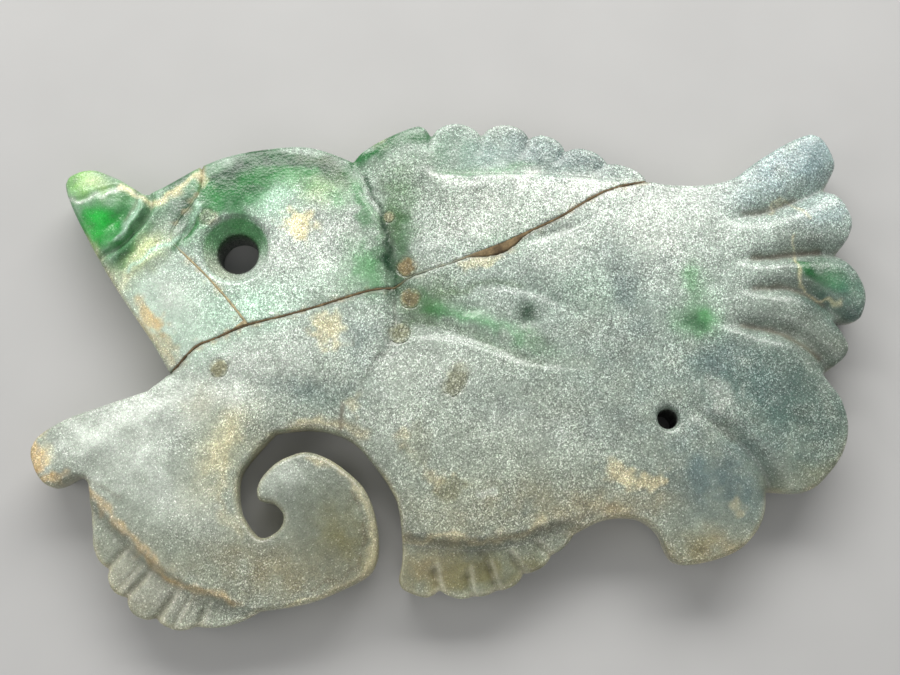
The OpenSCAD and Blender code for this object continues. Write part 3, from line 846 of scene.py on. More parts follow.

# Lines of colour on rims, ridges and veins, and painted highlights along lit ridges: (colour, points, half
# width, strength)
LINES = [
    (DEEP, [(-34.6, 30), (-32, 30.8), (-25.8, 31.9), (-20, 31.9), (-17.6, 31.2)], 1.5, 1.0),
    (FOREST, [(-30, 31.6), (-26, 32.4), (-21, 32.4)], 0.9, 0.6),
    (LEAF, [(-28, 30.6), (-24, 31), (-21, 30.6)], 0.5, 0.5),
    (MOSS, [(-21.6, 32.6), (-18.4, 32), (-16, 30.6)], 1.0, 0.6),
    (FOREST, [(-14.2, 31.6), (-12, 33.4), (-8, 35.8), (-4.4, 36.8)], 1.3, 0.85),
    (DEEP, [(-13, 29.6), (-10.4, 24), (-9.2, 18.4), (-8.6, 12.8)], 0.5, 0.85),
    (SMOKE, [(-8.4, 11), (-8.4, 7.4), (-9.6, 3), (-12.4, -1)], 0.4, 0.5),
    (DEEP, [(-9, 17), (-7.6, 15), (-8, 12.6)], 1.2, 0.7),
    # Painted highlight along the lit step at the crest's root
    (SNOW, [(-2, 29.4), (2, 28.9), (6.6, 28.9), (14, 28.8), (21, 28.2), (26, 27.8)], 0.8, 0.85),
    (SNOW, [(-56.9, 26.3), (-54, 26.2), (-50.6, 27.6), (-48.2, 28.3)], 0.4, 0.75),
    (CREAM, [(-48, 28.4), (-45.6, 26.6), (-43, 25.4), (-40.4, 26.8), (-36.8, 29.6)], 0.45, 0.75),
    # Painted highlight along the nostril ridge
    (MINT, [(-45.4, 25.8), (-45.1, 24.4), (-46.8, 21.8), (-49, 19.8)], 0.3, 0.9),
    (DEEP, [(-44.2, 25.4), (-44.2, 24), (-46, 21), (-48.6, 18.6)], 0.35, 0.5),
    (FOREST, CHEEK_DIMPLE, 0.6, 0.7),
    # Painted highlight along the ridge that runs up the cheek
    (MINT, [(-46.6, 14.8), (-43, 17.4), (-40, 20), (-38, 22.6), (-36.6, 25)], 0.35, 0.85),
    (STRAW, [(-54.6, 21), (-49.6, 14), (-46, 9), (-42.4, 4.4), (-40.2, 1)], 0.9, 0.8),
    (GREEN, [(-4.4, 9.4), (-1, 8.6), (3, 7.6), (7, 5.8), (10, 4)], 0.7, 0.3),
    (MOSS, [(-2.6, 12.6), (2, 12), (6, 12.6), (10, 12)], 0.6, 0.5),
    (MOSS, [(-6.4, 7.4), (-2, 7), (3, 5.4), (8, 3), (13, 1.2)], 0.6, 0.35),
    (SNOW, [(-54, -12.4), (-49.1, -9.4), (-45, -6.8), (-40, -4.2)], 0.4, 0.5),
    (GOLD, [(-51.2, -16), (-49.6, -18.6), (-46.6, -21.2), (-41.1, -26), (-35.8, -29.4),
            (-29.7, -31.9)], 0.5, 0.5),
    (STRAW, [(-7, -22.6), (3, -23.3), (9, -22.4), (13.6, -21)], 0.5, 0.7),
    (STRAW, [(-24, -33), (-16, -30.2), (-11.6, -27.4), (-10.6, -24), (-11, -20), (-12.8, -16.6),
             (-16.6, -13), (-20, -11.6)], 0.45, 0.55),
    (BROWN, [(-19, -29.8), (-14.6, -28), (-12, -24.6), (-12, -20.2), (-14, -16.6)], 0.25, 0.4),
    (CREAM, [(50.4, 20.6), (50.2, 16), (50.8, 12.6), (53.4, 10.8), (57, 10.4)], 0.22, 0.5),
    (CREAM, [(46.6, 25), (50, 25.8), (53, 23.6)], 0.22, 0.4),
    (STRAW, [(-30.2, -10), (-31.6, -14), (-31.2, -18.6), (-28.6, -23)], 0.7, 0.4),
    (STRAW, [(-25.4, -8), (-20.6, -7.2), (-16.6, -7.4), (-13, -9)], 0.8, 0.6),
]

# Stains and bleached spots that lie on the surface, in the clouds' form
STAINS = [
    (CREAM, (-22, 22), (3.0, 2.7), 25, 0.9),
    (CREAM, (-17.4, 6.6), (3.2, 2.8), 20, 0.55),
    (STRAW, (-18.2, 5.6), (1.8, 1.6), 40, 0.5),
    (GOLD, (-42.6, 7.8), (1.2, 3.4), 32, 0.8),
    (STRAW, (-43.8, 8.8), (1.0, 3.4), 34, 0.6),
    (STRAW, (-40.2, 3.6), (1.2, 3.4), 35, 0.7),
    (OLIVE, (-5, -10), (3.0, 3.6), 0, 0.25),
    (OLIVE, (0, -16), (2.6, 2.4), 0, 0.55),
    (STRAW, (-2.6, -14), (2.2, 2.0), 0, 0.5),
    (STRAW, (-6.6, -9), (1.8, 1.4), 0, 0.4),
    (STRAW, (25.4, -14.4), (4.4, 1.8), -14, 0.85),
    (STRAW, (28.4, -15.6), (1.6, 1.2), 0, 0.8),
    (STRAW, (39.4, -18.4), (1.4, 1.2), 0, 0.45),
    (MILK, (38, -3.6), (3.4, 2), -10, 0.4),
    (GOLD, (-57.8, -11.6), (1.8, 3.8), 10, 0.8),
    (CREAM, (-56.6, -10.8), (1.6, 2.8), 15, 0.35),
    (GOLD, (-56, -14.6), (2.4, 1.0), 0, 0.6),
    (CREAM, (4.2, 16), (3.4, 1.2), 24, 0.5),
    (TAN, (-36.9, 29.6), (0.8, 1.6), 5, 0.6),
    (STRAW, (-10, 35), (1.6, 1.2), 0, 0.6),
    (OLIVE, (-32.9, 0.7), (1.7, 1.5), 0, 0.35),
    (OLIVE, (-35, -3), (2.4, 1.4), 60, 0.2),
    (STRAW, (-13, -5), (1.4, 2.0), 0, 0.4),
    (SKY, (11.4, -19), (1.6, 1.2), 0, 0.3),
    (SNOW, (5, -17.6), (1.8, 1.0), 20, 0.4),
    (FOREST, (-31, 27), (3.6, 3.0), 20, 0.75),
    (GREEN, (-34, 25), (1.6, 2.2), 0, 0.5),
    (GREEN, (-34.4, 27.8), (2.4, 1.8), 10, 0.7),
    (DEEP, (-31.6, 29), (2.2, 1.1), 30, 0.55),
    (DEEP, (-28.4, 27.6), (1.6, 0.8), 0, 0.4),
    (MINT, (-27.6, 24.4), (1.8, 1.2), 30, 0.4),
    (CREAM, (-35.8, 29), (1.0, 1.0), 0, 0.5),
    (BONE, (-34.6, 22.8), (1.3, 0.9), 0, 0.5),
    (GREEN, (-29.4, 29.6), (3.4, 1.6), 10, 0.65),
    (DEEP, (-27, 32.6), (5.6, 1.3), 5, 0.85),
    (DEEP, (-40, 28.4), (2.6, 1.1), 35, 0.6),
    (GREEN, (-20.4, 30.2), (3.2, 1.2), -15, 0.55),
    (MOSS, (-16.6, 28.6), (2.0, 1.4), 0, 0.25),
    (LEAF, (-12, 14.8), (1.8, 3.4), 10, 0.45),
    (GREEN, (-10.4, 18), (0.9, 4), 0, 0.35),
    (GREEN, (-13, 24), (1.0, 4.4), 20, 0.5),
    (MOSS, (-8.2, 25), (1.8, 5.0), 10, 0.4),
    (DEEP, (35, 8), (1.8, 1.5), 0, 0.6),
    (FOREST, (51.6, 15.2), (2.0, 1.2), -12, 0.8),
    (DEEP, (10.9, 8.6), (1.5, 1.2), 0, 0.5),
    (SKY, (37.6, 0), (2.2, 1.6), -30, 0.6),
    (SKY, (25, 12), (2.0, 4.0), 5, 0.3),
    (SMOKE, (20, 8), (3.0, 4.0), 0, 0.25),
    (MILK, (30, 22), (5.0, 5.0), 0, 0.3),
    (SMOKE, (22, 20), (4.0, 1.4), 25, 0.3),
]

# Lines where earth has settled: (points, half width, strength)
DIRT_LINES = [
    (CHIN_ROOT, 0.22, 0.22),
    ([(-52.1, -14.8), (-49, -15.8), (-46, -17.5)], 0.4, 0.3),
    ([(-6.4, -22.9), (2.9, -23.9), (10.8, -22.4), (18.1, -20.3), (22.8, -18.6)], 0.4, 0.3),
    ([(-15.2, -4.6), (-15.4, -7.9)], 0.3, 0.6),
    ([(-36.5, 31.8), (-36.7, 28), (-38, 25)], 0.4, 0.35),
    ([(-46.4, 28), (-46, 25.6), (-47.4, 22.8)], 0.35, 0.4),
    ([(43, 24), (47, 24.8), (51, 26.4)], 0.5, 0.45),
    ([(44, 17.2), (49, 17.8), (54, 18.4)], 0.5, 0.55),
    ([(44, 12.6), (49, 12.8), (54, 10.4)], 0.5, 0.45),
    ([(42, 7), (47, 6.2), (53, 2.6)], 0.5, 0.5),
]

# Places with little grain and few painted glints: ((x, y), (half length, half width), turn, loss)
SMOOTH_PLACES = [
    ((-53, 24), (8, 9), 0, 0.4),
    ((-41, 9), (9, 6), -45, 0.5),
    ((-50, -8), (12, 6), 20, 0.35),
    ((-32, -2), (10, 6), 15, 0.2),
    ((-18, -21), (12, 10), 0, 0.55),
    ((-42, -18), (10, 10), -40, 0.4),
    ((-42, -30), (12, 5), -40, 0.3),
    ((4, -28), (15, 4), 0, 0.52),
    ((38, -18), (9, 9), 0, 0.4),
    ((50, -15), (9, 4), 0, 0.2),
    ((54, 33), (6, 3), 30, 0.2),
    ((-30, 31.4), (14, 2.2), 5, 0.5),
    ((-32, 27), (6, 3), 20, 0.4),
    ((4, 33), (16, 3), -6, 0.3),
    ((52, 6), (8, 14), 0, 0.25),
    ((-7, 18), (3, 9), 8, 0.35),
    ((3, 8), (9, 3), -22, 0.25),
    ((-13, 18), (3, 9), 0, 0.2),
    ((35.4, 8), (3, 3), 0, 0.35),
    ((54, 13), (5, 3), 0, 0.2),
    ((20, -14), (22, 6), 0, 0.12),
]


def cloud(p, centre, size, turn):
    """1 in the middle of a turned ellipse, falling softly past its edge."""
    c, s = math.cos(math.radians(turn)), math.sin(math.radians(turn))
    rel = p - at(centre)
    u = (rel[:, 0] * c + rel[:, 1] * s) / size[0]
    v = (-rel[:, 0] * s + rel[:, 1] * c) / size[1]
    return np.exp(-1.1 * (u * u + v * v))


def layer(colour, tint, share):
    """The colour with a tint laid over it."""
    share = share[:, None]
    return colour * (1 - share) + tint * share


def near_place(p, place, reach):
    """1 within reach of a place, fading quickly past it."""
    return bell(np.hypot(*(p - at(place)).T) / reach, 4)


def patches(p, size, seed, middle=0.8, top=1.3, gain=1.0):
    """A ragged share of a colour, from 0 to top around a middle value."""
    return np.clip(middle + gain * rough_noise(p, size, seed), 0, top)


def near_line(p, line, width):
    """1 on a curve, fading over a ragged width; returned with the indices it touches."""
    line = curve(line)
    near = around(p, line, 3 * width)
    away = nearest(p[near], to_segments(line))[0]
    ragged = width * (1 + 0.4 * noise(p[near], 1.3, 89))
    return near, bell(away / ragged)


def eye_colour(points, colour):
    """Green upper wall and olive lower wall of the eye's sink, and painted shade down both holes."""
    p, z = points[:, :2], points[:, 2]
    rel = p - eye_at
    r = np.hypot(*rel.T)
    in_sink = (1 - smooth((r - eye_r - EYE_FLARE + 0.3) / 0.5)) * (z > 4)
    up = smooth(0.5 + 0.7 * rel[:, 1] / (r + 0.1))
    colour = layer(colour, GREEN, 0.75 * in_sink * up)
    colour = layer(colour, OLIVE, 0.45 * in_sink * (1 - up) * smooth(0.6 - 0.8 * rel[:, 0] / (r + 0.1)))
    # Painted shade: both holes darken towards their foot.
    for centre, radius, foot in ((eye_at, eye_r, EYE_TOP - EYE_SINK + 0.4), (cord_at, cord_r, 7.0)):
        away = np.hypot(*(p - centre).T) - radius
        hole_shade = 1 - smooth((away - 0.15) / 0.35)
        colour = layer(colour, HOLE_SHADE, 0.85 * hole_shade * smooth((foot - z) / 0.8 + 0.5))
    return colour


def mixed_jade(q, patchy):
    """The stone's base colour: paler towards the crest and darker towards the bottom, clouded with green,
    blue-grey and white.
    """
    colour = LOW + (PALE - LOW) * smooth((q[:, 1] + 18 + 5 * patchy) / 34)[:, None]
    for tint, centre, size, turn, strength in CLOUDS:
        share = cloud(q, centre, size, turn) * strength * (1 + 0.7 * patchy)
        colour = layer(colour, tint, np.clip(share, 0, 1))
    return colour


def with_stains(colour, p, q, front):
    """Blotted stains laid over the colour."""
    blots = 0.5 * rough_noise(p, 2.2, 79) + 0.3 * noise(p, 0.8, 83)
    for tint, centre, size, turn, strength in STAINS:
        laid = smooth((1.3 * cloud(q, centre, size, turn) + blots - 0.3) / 0.85)
        colour = layer(colour, tint, laid * strength * front * (cloud(p, centre, size, turn) > 0.02))
    return colour


def with_lines(colour, p, q, patchy, front):
    """Rims, ridges and veins, some of them painted highlights, and on the fins' flutes painted shade in
    each and a painted highlight beside it.
    """
    for tint, line, width, strength in LINES:
        near, share = near_line(q, line, width)
        share = share * strength * front[near] * (1 + 0.4 * patchy[near])
        colour[near] = layer(colour[near], tint, np.clip(share, 0, 1))
    # Painted shade down each flute and a painted highlight just beside it.
    for crease, _, width in CHIN_CREASES + BELLY_CREASES:
        for tint, shift, strength in ((OLIVE * 0.7, 0, 0.3), (BONE, 0.75, 0.35)):
            near, share = near_line(p, np.add(crease, (shift, 0)), 0.6 * width)
            colour[near] = layer(colour[near], tint, strength * share * front[near])
    return colour


def settled_dirt(p, front):
    """Earth left in the hollows and along the carved lines."""
    hollow = np.clip(sample(cavity, p), 0, 1)
    dirt_and_shade = 0.16 * front * hollow * patches(p, 2.0, 83, 0.7, 1, 0.5)
    for line, width, strength in DIRT_LINES:
        near, share = near_line(p, line, width)
        dirt_and_shade[near] += share * strength * front[near]
    return dirt_and_shade


def with_walls(colour, dirt_and_shade, points):
    """Side walls, paler below the face, with painted shade that is deepest inside the curl, and a warm
    painted glow on the lower rims.
    """
    p, z = points[:, :2], points[:, 2]
    d = sample(to_edge, p)
    wall = 1 - smooth((d - 0.1) / 0.8)
    below = smooth((6.6 - z) / 1.6)
    # Painted glow: a warm light along the lower rims.
    rim_glow = smooth((-6 - p[:, 1]) / 10) * bell(d / 0.55) * (z > 3)
    colour = layer(colour, STRAW, 0.4 * rim_glow * patches(p, 3.0, 95))
    colour = layer(colour, BONE, 0.6 * wall * below * patches(p, 3.0, 96, top=1.2))
    # Painted shade on the side walls, deepest inside the curl, laid down as brown together with the
    # settled earth.
    wall_shade = 0.05 + 0.5 * near_place(p, (-24, -13), 8) * below + 0.1 * near_place(p, (-46, -26), 12)
    return colour, dirt_and_shade + wall * wall_shade * patches(p, 3.0, 97)


def with_breaks(colour, dirt_and_shade, p, front):
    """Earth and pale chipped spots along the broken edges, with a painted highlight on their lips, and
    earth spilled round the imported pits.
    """
    faint = 1 - 0.75 * tight_stretch(p)
    for name, strength, width in (("body_fragment", 0.6, 0.32), ("snout_fragment", 0.12, 0.2)):
        away = nearest(p, edges[name][1])[0]
        ragged = np.maximum(width * (1 + 0.8 * rough_noise(p, 1.1, 101)), 0.05)
        dirt_and_shade = np.maximum(dirt_and_shade, strength * faint * bell(away / ragged))
        # Pale chipped spots that also paint the highlight on the broken lips.
        chips_and_highlight = bell(away / 0.7) * smooth(2.5 * noise(p, 0.9, 105) - 0.4)
        colour = layer(colour, STRAW, 0.5 * chips_and_highlight * faint)
    for name in PITS:
        r = np.hypot(*turned(p - node_middle(name), name).T) / PITS[name]
        spilled = bell(np.maximum(r - 0.9, 0) / 0.3) * patches(p, 1.2, 107, 0.6, 1, 0.8)
        colour = layer(colour, PIT_EARTH[name] * 0.5 + OLIVE * 0.5, 0.5 * spilled * front)
    return colour, np.clip(dirt_and_shade, 0, 1)


def grain_and_glint_amount(points, colour, dirt_and_shade):
    """How thick the grain and its painted glints lie: thickest over the back, where they stand for the
    light falling from above, and sparse on the snout, curl and fins.
    """
    p = points[:, :2]
    # Painted light: more grain and glints over the back, which the light from above falls on.
    grain_and_glints = 0.78 + 0.25 * cloud(p, (16, 24), (34, 9), 6)
    for centre, size, turn, loss in SMOOTH_PLACES:
        grain_and_glints = grain_and_glints - loss * cloud(p, centre, size, turn)
    green = (colour[:, 1] - colour[:, 0]) / (colour[:, 1] + 0.02)
    grain_and_glints = grain_and_glints * (1 - 0.45 * np.clip((green - 0.25) / 0.35, 0, 1))
    grain_and_glints = grain_and_glints * (1 + 0.35 * rough_noise(p, 4.0, 103))
    grain_and_glints = grain_and_glints * (0.4 + 0.6 * smooth((points[:, 2] - 4) / 3))
    return np.clip(grain_and_glints, 0.05, 1.0) * (1 - 0.7 * dirt_and_shade)


def stone_colour(points):
    """The stone's colour, its settled earth with painted shade, and its grain with painted glints at
    points (n, 3).
    """
    p = points[:, :2]
    warp = np.stack([rough_noise(p, 5.0, 51), rough_noise(p, 5.0, 57)], -1) * 1.5
    warp += np.stack([noise(p, 1.2, 61), noise(p, 1.2, 67)], -1) * 0.4
    q = p + warp
    patchy = rough_noise(p, 2.4, 73)
    # Stains, rim colours and settled earth belong to the carved face and die out towards the back.
    front = 0.1 + 0.9 * smooth((points[:, 2] - 0.4) / 2.6)

    colour = mixed_jade(q, patchy)
    colour = with_stains(colour, p, q, front)
    colour = with_lines(colour, p, q, patchy, front)
    colour, dirt_and_shade = with_walls(colour, settled_dirt(p, front), points)
    colour, dirt_and_shade = with_breaks(colour, dirt_and_shade, p, front)
    colour = eye_colour(points, layer(colour, BROWN, dirt_and_shade))
    shade = 1 + 0.20 * rough_noise(p, 3.4, 141) + 0.08 * noise(p, 0.9, 143)
    colour = colour * shade[:, None]
    return np.clip(colour, 0, 1), dirt_and_shade, grain_and_glint_amount(points, colour, dirt_and_shade)


def blur(values, rounds):
    """A plan field smoothed over its neighbours, again and again."""
    g = values.reshape(len(xs), len(ys)).copy()
    for _ in range(rounds):
        for axis in (0, 1):
            g = (np.roll(g, 1, axis) + 2 * g + np.roll(g, -1, axis)) / 4
    return g.reshape(-1)


# How hollow each place is, next to the ground around it
CAVITY_ROUNDS = 14
CAVITY_DEPTH = 0.45
cavity = (blur(open_height, CAVITY_ROUNDS) - open_height) / CAVITY_DEPTH


# ---------------------------------------------------------------- materials

# Cells or waves of each texture in a metre
GRAIN_SCALE = 7600.0
GLINT_SCALE = 6600.0
CRYSTAL_SCALE = 2400.0
FLECK_SCALE = 4200.0
MOTTLE_SCALE = 420.0
SEAM_GRIT_SCALE = 1500.0
PIT_GRIT_SCALE = 1300.0
CLOTH_SCALE = 60.0
JADE_IOR = 1.62


# The sockets of a colour mix, by number
MIX_FACTOR, MIX_A, MIX_B = 0, 6, 7
MIX_RESULT = 2


class Graph:
    """The nodes of a new material. Any value given to a node may be another node's output."""

    def __init__(self, name):
        self.material = bpy.data.materials.new(name)
        self.material.use_nodes = True
        self.nodes = self.material.node_tree.nodes
        self.place = self.nodes.new("ShaderNodeNewGeometry").outputs["Position"]

    def put(self, value, socket):
        """Joins an output to a socket, or sets the socket to a plain value."""
        if isinstance(value, bpy.types.NodeSocket):
            self.material.node_tree.links.new(value, socket)
        else:
            socket.default_value = value

    def node(self, kind, **sockets):
        n = self.nodes.new(kind)
        for name, value in sockets.items():
            self.put(value, n.inputs[name])
        return n

    def texture(self, kind, **sockets):
        """A texture laid over the place of each point."""
        return self.node("ShaderNodeTex" + kind, Vector=self.place, **sockets)

    def painted(self, name, output="Fac"):
        """What is painted on the mesh under a name."""
        n = self.nodes.new("ShaderNodeAttribute")
        n.attribute_name = name
        return n.outputs[output]

    def ramp(self, value, stops):
        """Greys laid along a value; a stop is (place, grey)."""
        n = self.node("ShaderNodeValToRGB", Fac=value)
        while len(n.color_ramp.elements) < len(stops):
            n.color_ramp.elements.new(0.5)
        for element, (place, grey) in zip(n.color_ramp.elements, stops):
            element.position = place
            element.color = (grey, grey, grey, 1)
        return n.outputs["Color"]

    def mix(self, kind, factor, a, b):
        """Two colours blended."""
        n = self.nodes.new("ShaderNodeMix")
        n.data_type = "RGBA"
        n.blend_type = kind
        for index, value in ((MIX_FACTOR, factor), (MIX_A, a), (MIX_B, b)):
            self.put(value, n.inputs[index])
        return n.outputs[MIX_RESULT]

    def multiply_add(self, value, gain, extra):
        """value * gain + extra."""
        n = self.nodes.new("ShaderNodeMath")
        n.operation = "MULTIPLY_ADD"
        for index, term in enumerate((value, gain, extra)):
            self.put(term, n.inputs[index])
        return n.outputs[0]

    def bump(self, height, strength, distance, **sockets):
        """A bumpy normal, with its distance in metres."""
        n = self.node("ShaderNodeBump", Height=height, Strength=strength, Distance=distance, **sockets)
        return n.outputs["Normal"]

    def shaded(self, sockets):
        """The material, once its shader's sockets are set."""
        shader = self.nodes["Principled BSDF"]
        for name, value in sockets.items():
            self.put(value, shader.inputs[name])
        return self.material


def with_grain_and_glints(g, base):
    """A colour broken up by the stone's crystals: where the grain lies thick, light and dark grains, and a
    few painted glints that lighten the colour."""
    grain_and_glints = g.painted("grain_and_glints")
    grains = g.texture("Voronoi", Scale=GRAIN_SCALE).outputs["Color"]
    glints = g.texture("Voronoi", Scale=GLINT_SCALE).outputs["Color"]
    base = g.mix("MULTIPLY", grain_and_glints, base, g.ramp(grains, [(0.24, 0.50), (0.5, 0.94), (0.76, 1.45)]))
    # Painted glints: cells that glint lift the colour, more of them where the grain lies thick.
    chance = g.mix("MIX", 0.3, glints, grain_and_glints)
    base = g.mix("MULTIPLY", 1.0, base, g.ramp(chance, [(0.66, 1.0), (0.80, 1.75)]))
    return g.mix("ADD", 1.0, base, g.ramp(chance, [(0.66, 0.0), (0.80, 0.18)]))


def jade_material():
    """Polished jade: painted clouds, a mottle, facets and a grain with painted glints, duller where dirty
    or painted with shade.
    """
    g = Graph("jade")
    mottle = g.texture("Noise", Scale=MOTTLE_SCALE, Detail=6.0, Roughness=0.68).outputs["Fac"]
    crystals = g.texture("Voronoi", Scale=CRYSTAL_SCALE)
    flecks = g.texture("Noise", Scale=FLECK_SCALE, Detail=1.0, Roughness=0.6).outputs["Fac"]
    shade = g.ramp(mottle, [(0.30, 0.68), (0.5, 0.96), (0.70, 1.16)])
    base = g.mix("MULTIPLY", 0.5, g.painted("stone_colour", "Color"), shade)
    facet = g.ramp(crystals.outputs["Color"], [(0.25, 0.88), (0.5, 0.99), (0.75, 1.07)])
    base = g.mix("MULTIPLY", g.painted("grain_and_glints"), base, facet)
    polish = g.multiply_add(flecks, 0.36, 0.13)
    fine = g.bump(crystals.outputs["Distance"], 0.6, 0.00006)
    return g.shaded({
        "Base Color": with_grain_and_glints(g, base),
        "Roughness": g.multiply_add(g.painted("dirt_and_shade"), 0.45, polish),
        "Normal": g.bump(mottle, 0.4, 0.00015, Normal=fine),
        "Subsurface Weight": 0.25,
        "Subsurface Radius": (0.7, 1.0, 0.75),
        "Subsurface Scale": 0.0012,
        "IOR": JADE_IOR,
    })


def earth_material(name, scale, grained_and_glinting=False):
    """Packed earth in its own painted colour: matt and gritty, with paler grains; for the pits also the
    stone's grain with painted glints.
    """
    g = Graph(name)
    grit = g.texture("Noise", Scale=scale, Detail=6.0, Roughness=0.7).outputs["Fac"]
    pebbles = g.texture("Voronoi", Scale=scale * 2.2).outputs["Distance"]
    shade = g.ramp(grit, [(0.35, 0.62), (0.68, 1.3)])
    base = g.mix("MULTIPLY", 1.0, g.painted("earth_colour", "Color"), shade)
    base = g.mix("MULTIPLY", 0.7, base, g.ramp(pebbles, [(0.15, 0.75), (0.5, 1.1)]))
    return g.shaded({
        "Base Color": with_grain_and_glints(g, base) if grained_and_glinting else base,
        "Roughness": 0.85,
        "Normal": g.bump(grit, 0.6, 0.00012),
    })


jade = jade_material()
seam_earth = earth_material("seam_earth", SEAM_GRIT_SCALE)
cheek_earth = earth_material("cheek_earth", SEAM_GRIT_SCALE)
pit_earth = earth_material("pit_earth", PIT_GRIT_SCALE, grained_and_glinting=True)


def paint(obj, name, colour):
    """Lays a colour for each vertex on a mesh."""
    attribute = obj.data.attributes.new(name, "FLOAT_COLOR", "POINT")
    attribute.data.foreach_set("color", np.column_stack([colour, np.ones(len(colour))]).ravel())


def paint_value(obj, name, values):
    """Lays a number for each vertex on a mesh."""
    obj.data.attributes.new(name, "FLOAT", "POINT").data.foreach_set("value", values)


def paint_stone(obj, points):
    """Lays the jade's colour, its settled earth with painted shade, and its grain with painted glints on a
    fragment.
    """
    colour, dirt_and_shade, grain_and_glints = stone_colour(points)
    paint(obj, "stone_colour", colour)
    paint_value(obj, "dirt_and_shade", dirt_and_shade)
    paint_value(obj, "grain_and_glints", grain_and_glints)


for name, slot in zip(FRAGMENTS, ["body_stone", "head_stone", "snout_stone"]):
    points, quads = fragment_mesh(name)
    piece = new_piece(name.replace("fragment", "stone"), points, quads, [name], jade)
    paint_stone(piece, points)


# ---------------------------------------------------------------- seams and packed earth

def face_height(p):
    """The carved face's height with its rounded outer edge."""
    turn = sample(round_plan, p)
    a = np.clip(turn - sample(to_edge, p), 0, turn)
    return sample(height_plan, p) - turn + np.sqrt(turn**2 - a**2)


def back_height(p):
    """The back's height, which rises where the back edge is rounded."""
    a = np.clip(BACK_ROUND + WALL_LEAN - sample(to_edge, p), 0, BACK_ROUND)
    return BACK_ROUND - np.sqrt(BACK_ROUND**2 - a**2)


def chain(segments):
    """The longest run of joined segments, as points."""
    left = [tuple(map(tuple, np.round(s, 4))) for s in segments]
    runs = []
    while left:
        run = list(left.pop())
        grown = True
        while grown:
            grown = False
            for s in left:
                if s[0] == run[-1]:
                    run.append(s[1])
                elif s[1] == run[0]:
                    run.insert(0, s[0])
                else:
                    continue
                left.remove(s)
                grown = True
                break
        runs.append(np.array(run))
    return max(runs, key=lambda r: np.hypot(*np.diff(r, axis=0).T).sum())


def even(line, step):
    """The line's points at an even spacing."""
    s = np.concatenate([[0], np.cumsum(np.hypot(*np.diff(line, axis=0).T))])
    t = np.linspace(0, s[-1], max(int(s[-1] / step), 2))
    return np.stack([np.interp(t, s, line[:, k]) for k in (0, 1)], -1)


SEAM_STEP = 0.3
SEAM_COLUMNS = 5
SEAM_SINK = 0.08
HAIRLINE_SINK = 0.02
SEAM_SWELL = 0.03
SEAM_CLEAR = 0.05
SEAM_END = 0.25


def ribbon_faces(n):
    """The faces of a closed ribbon of n rows: its face, its back, its sides and its ends."""
    faces = []
    right = SEAM_COLUMNS - 1

    def v(i, j, deep=0):
        return (deep * n + i) * SEAM_COLUMNS + j

    for i in range(n - 1):
        for j in range(right):
            faces.append((v(i, j), v(i + 1, j), v(i + 1, j + 1), v(i, j + 1)))
            faces.append((v(i, j, 1), v(i, j + 1, 1), v(i + 1, j + 1, 1), v(i + 1, j, 1)))
        faces.append((v(i, 0), v(i, 0, 1), v(i + 1, 0, 1), v(i + 1, 0)))
        faces.append((v(i, right), v(i + 1, right), v(i + 1, right, 1), v(i, right, 1)))
    for j in range(right):
        faces.append((v(0, j), v(0, j + 1), v(0, j + 1, 1), v(0, j, 1)))
        faces.append((v(n - 1, j), v(n - 1, j, 1), v(n - 1, j + 1, 1), v(n - 1, j + 1)))
    return faces


def seam_mesh(side_a, side_b, sink):
    """A closed ribbon of earth between two broken edges, from the back to just under the face."""
    a = even(side_a, SEAM_STEP)
    n = len(a)
    b = side_b[np.argmin(np.hypot(*(side_b[None] - a[:, None]).transpose(2, 0, 1)), 1)]
    share = np.linspace(SEAM_CLEAR, 1 - SEAM_CLEAR, SEAM_COLUMNS)[None, :, None]
    across = a[:, None] * (1 - share) + b[:, None] * share
    flat = across.reshape(-1, 2)
    top = face_height(flat).reshape(n, SEAM_COLUMNS) - sink
    top += SEAM_SWELL * np.sin(np.linspace(0, math.pi, SEAM_COLUMNS))
    top += sink * noise(flat, 0.8, 111).reshape(n, -1)
    bottom = back_height(flat).reshape(n, SEAM_COLUMNS) + sink
    in_stone_row = sample(to_edge, flat).reshape(n, SEAM_COLUMNS).min(1) > SEAM_END
    rows = slice(np.argmax(in_stone_row), n - np.argmax(in_stone_row[::-1]))
    upper, lower = (np.concatenate([across, z[:, :, None]], 2)[rows].reshape(-1, 3) for z in (top, bottom))
    return np.vstack([upper, lower]), ribbon_faces(len(upper) // SEAM_COLUMNS)


FACING_REACH = 2.2


def edge_facing(name, other):
    """The stretch of a fragment's broken edge that lies within reach of another fragment."""
    seg = edges[name][1]
    away = nearest(seg.mean(1), edges[other][1])[0]
    return seg[away < FACING_REACH]


def seam_colour(points):
    """Brown and tan along the long seam, lost among the stone's colours just behind the collar."""
    p = points[:, :2]
    earth = layer(np.tile(TAN, (len(p), 1)), BROWN, patches(p, 1.6, 131, 0.8, 1, 0.6))
    return layer(earth, stone_colour(points)[0], 0.7 * tight_stretch(p))


def hairline_colour(points):
    """Tan over the cheek, lost among the stone's own colours above it."""
    upper = smooth((points[:, 1] - 15.5) / 2)
    earth = np.tile(STRAW * 0.5 + TAN * 0.5, (len(points), 1))
    return layer(earth, stone_colour(points)[0], 0.95 * upper)


lower_side = chain(edges["body_fragment"][1])
head_side = edges["head_fragment"][1].reshape(-1, 2)
upper_side = np.vstack([head_side, edges["snout_fragment"][1].reshape(-1, 2)])
points, faces = seam_mesh(lower_side, upper_side, SEAM_SINK)
piece = new_piece("long_seam_earth", points, faces, ["long_seam_fill"], seam_earth)
paint(piece, "earth_colour", seam_colour(points))
snout_side = chain(edge_facing("snout_fragment", "head_fragment"))
points, faces = seam_mesh(snout_side, head_side, HAIRLINE_SINK)
piece = new_piece("snout_seam_earth", points, faces, ["snout_seam_fill"], cheek_earth)
paint(piece, "earth_colour", hairline_colour(points))

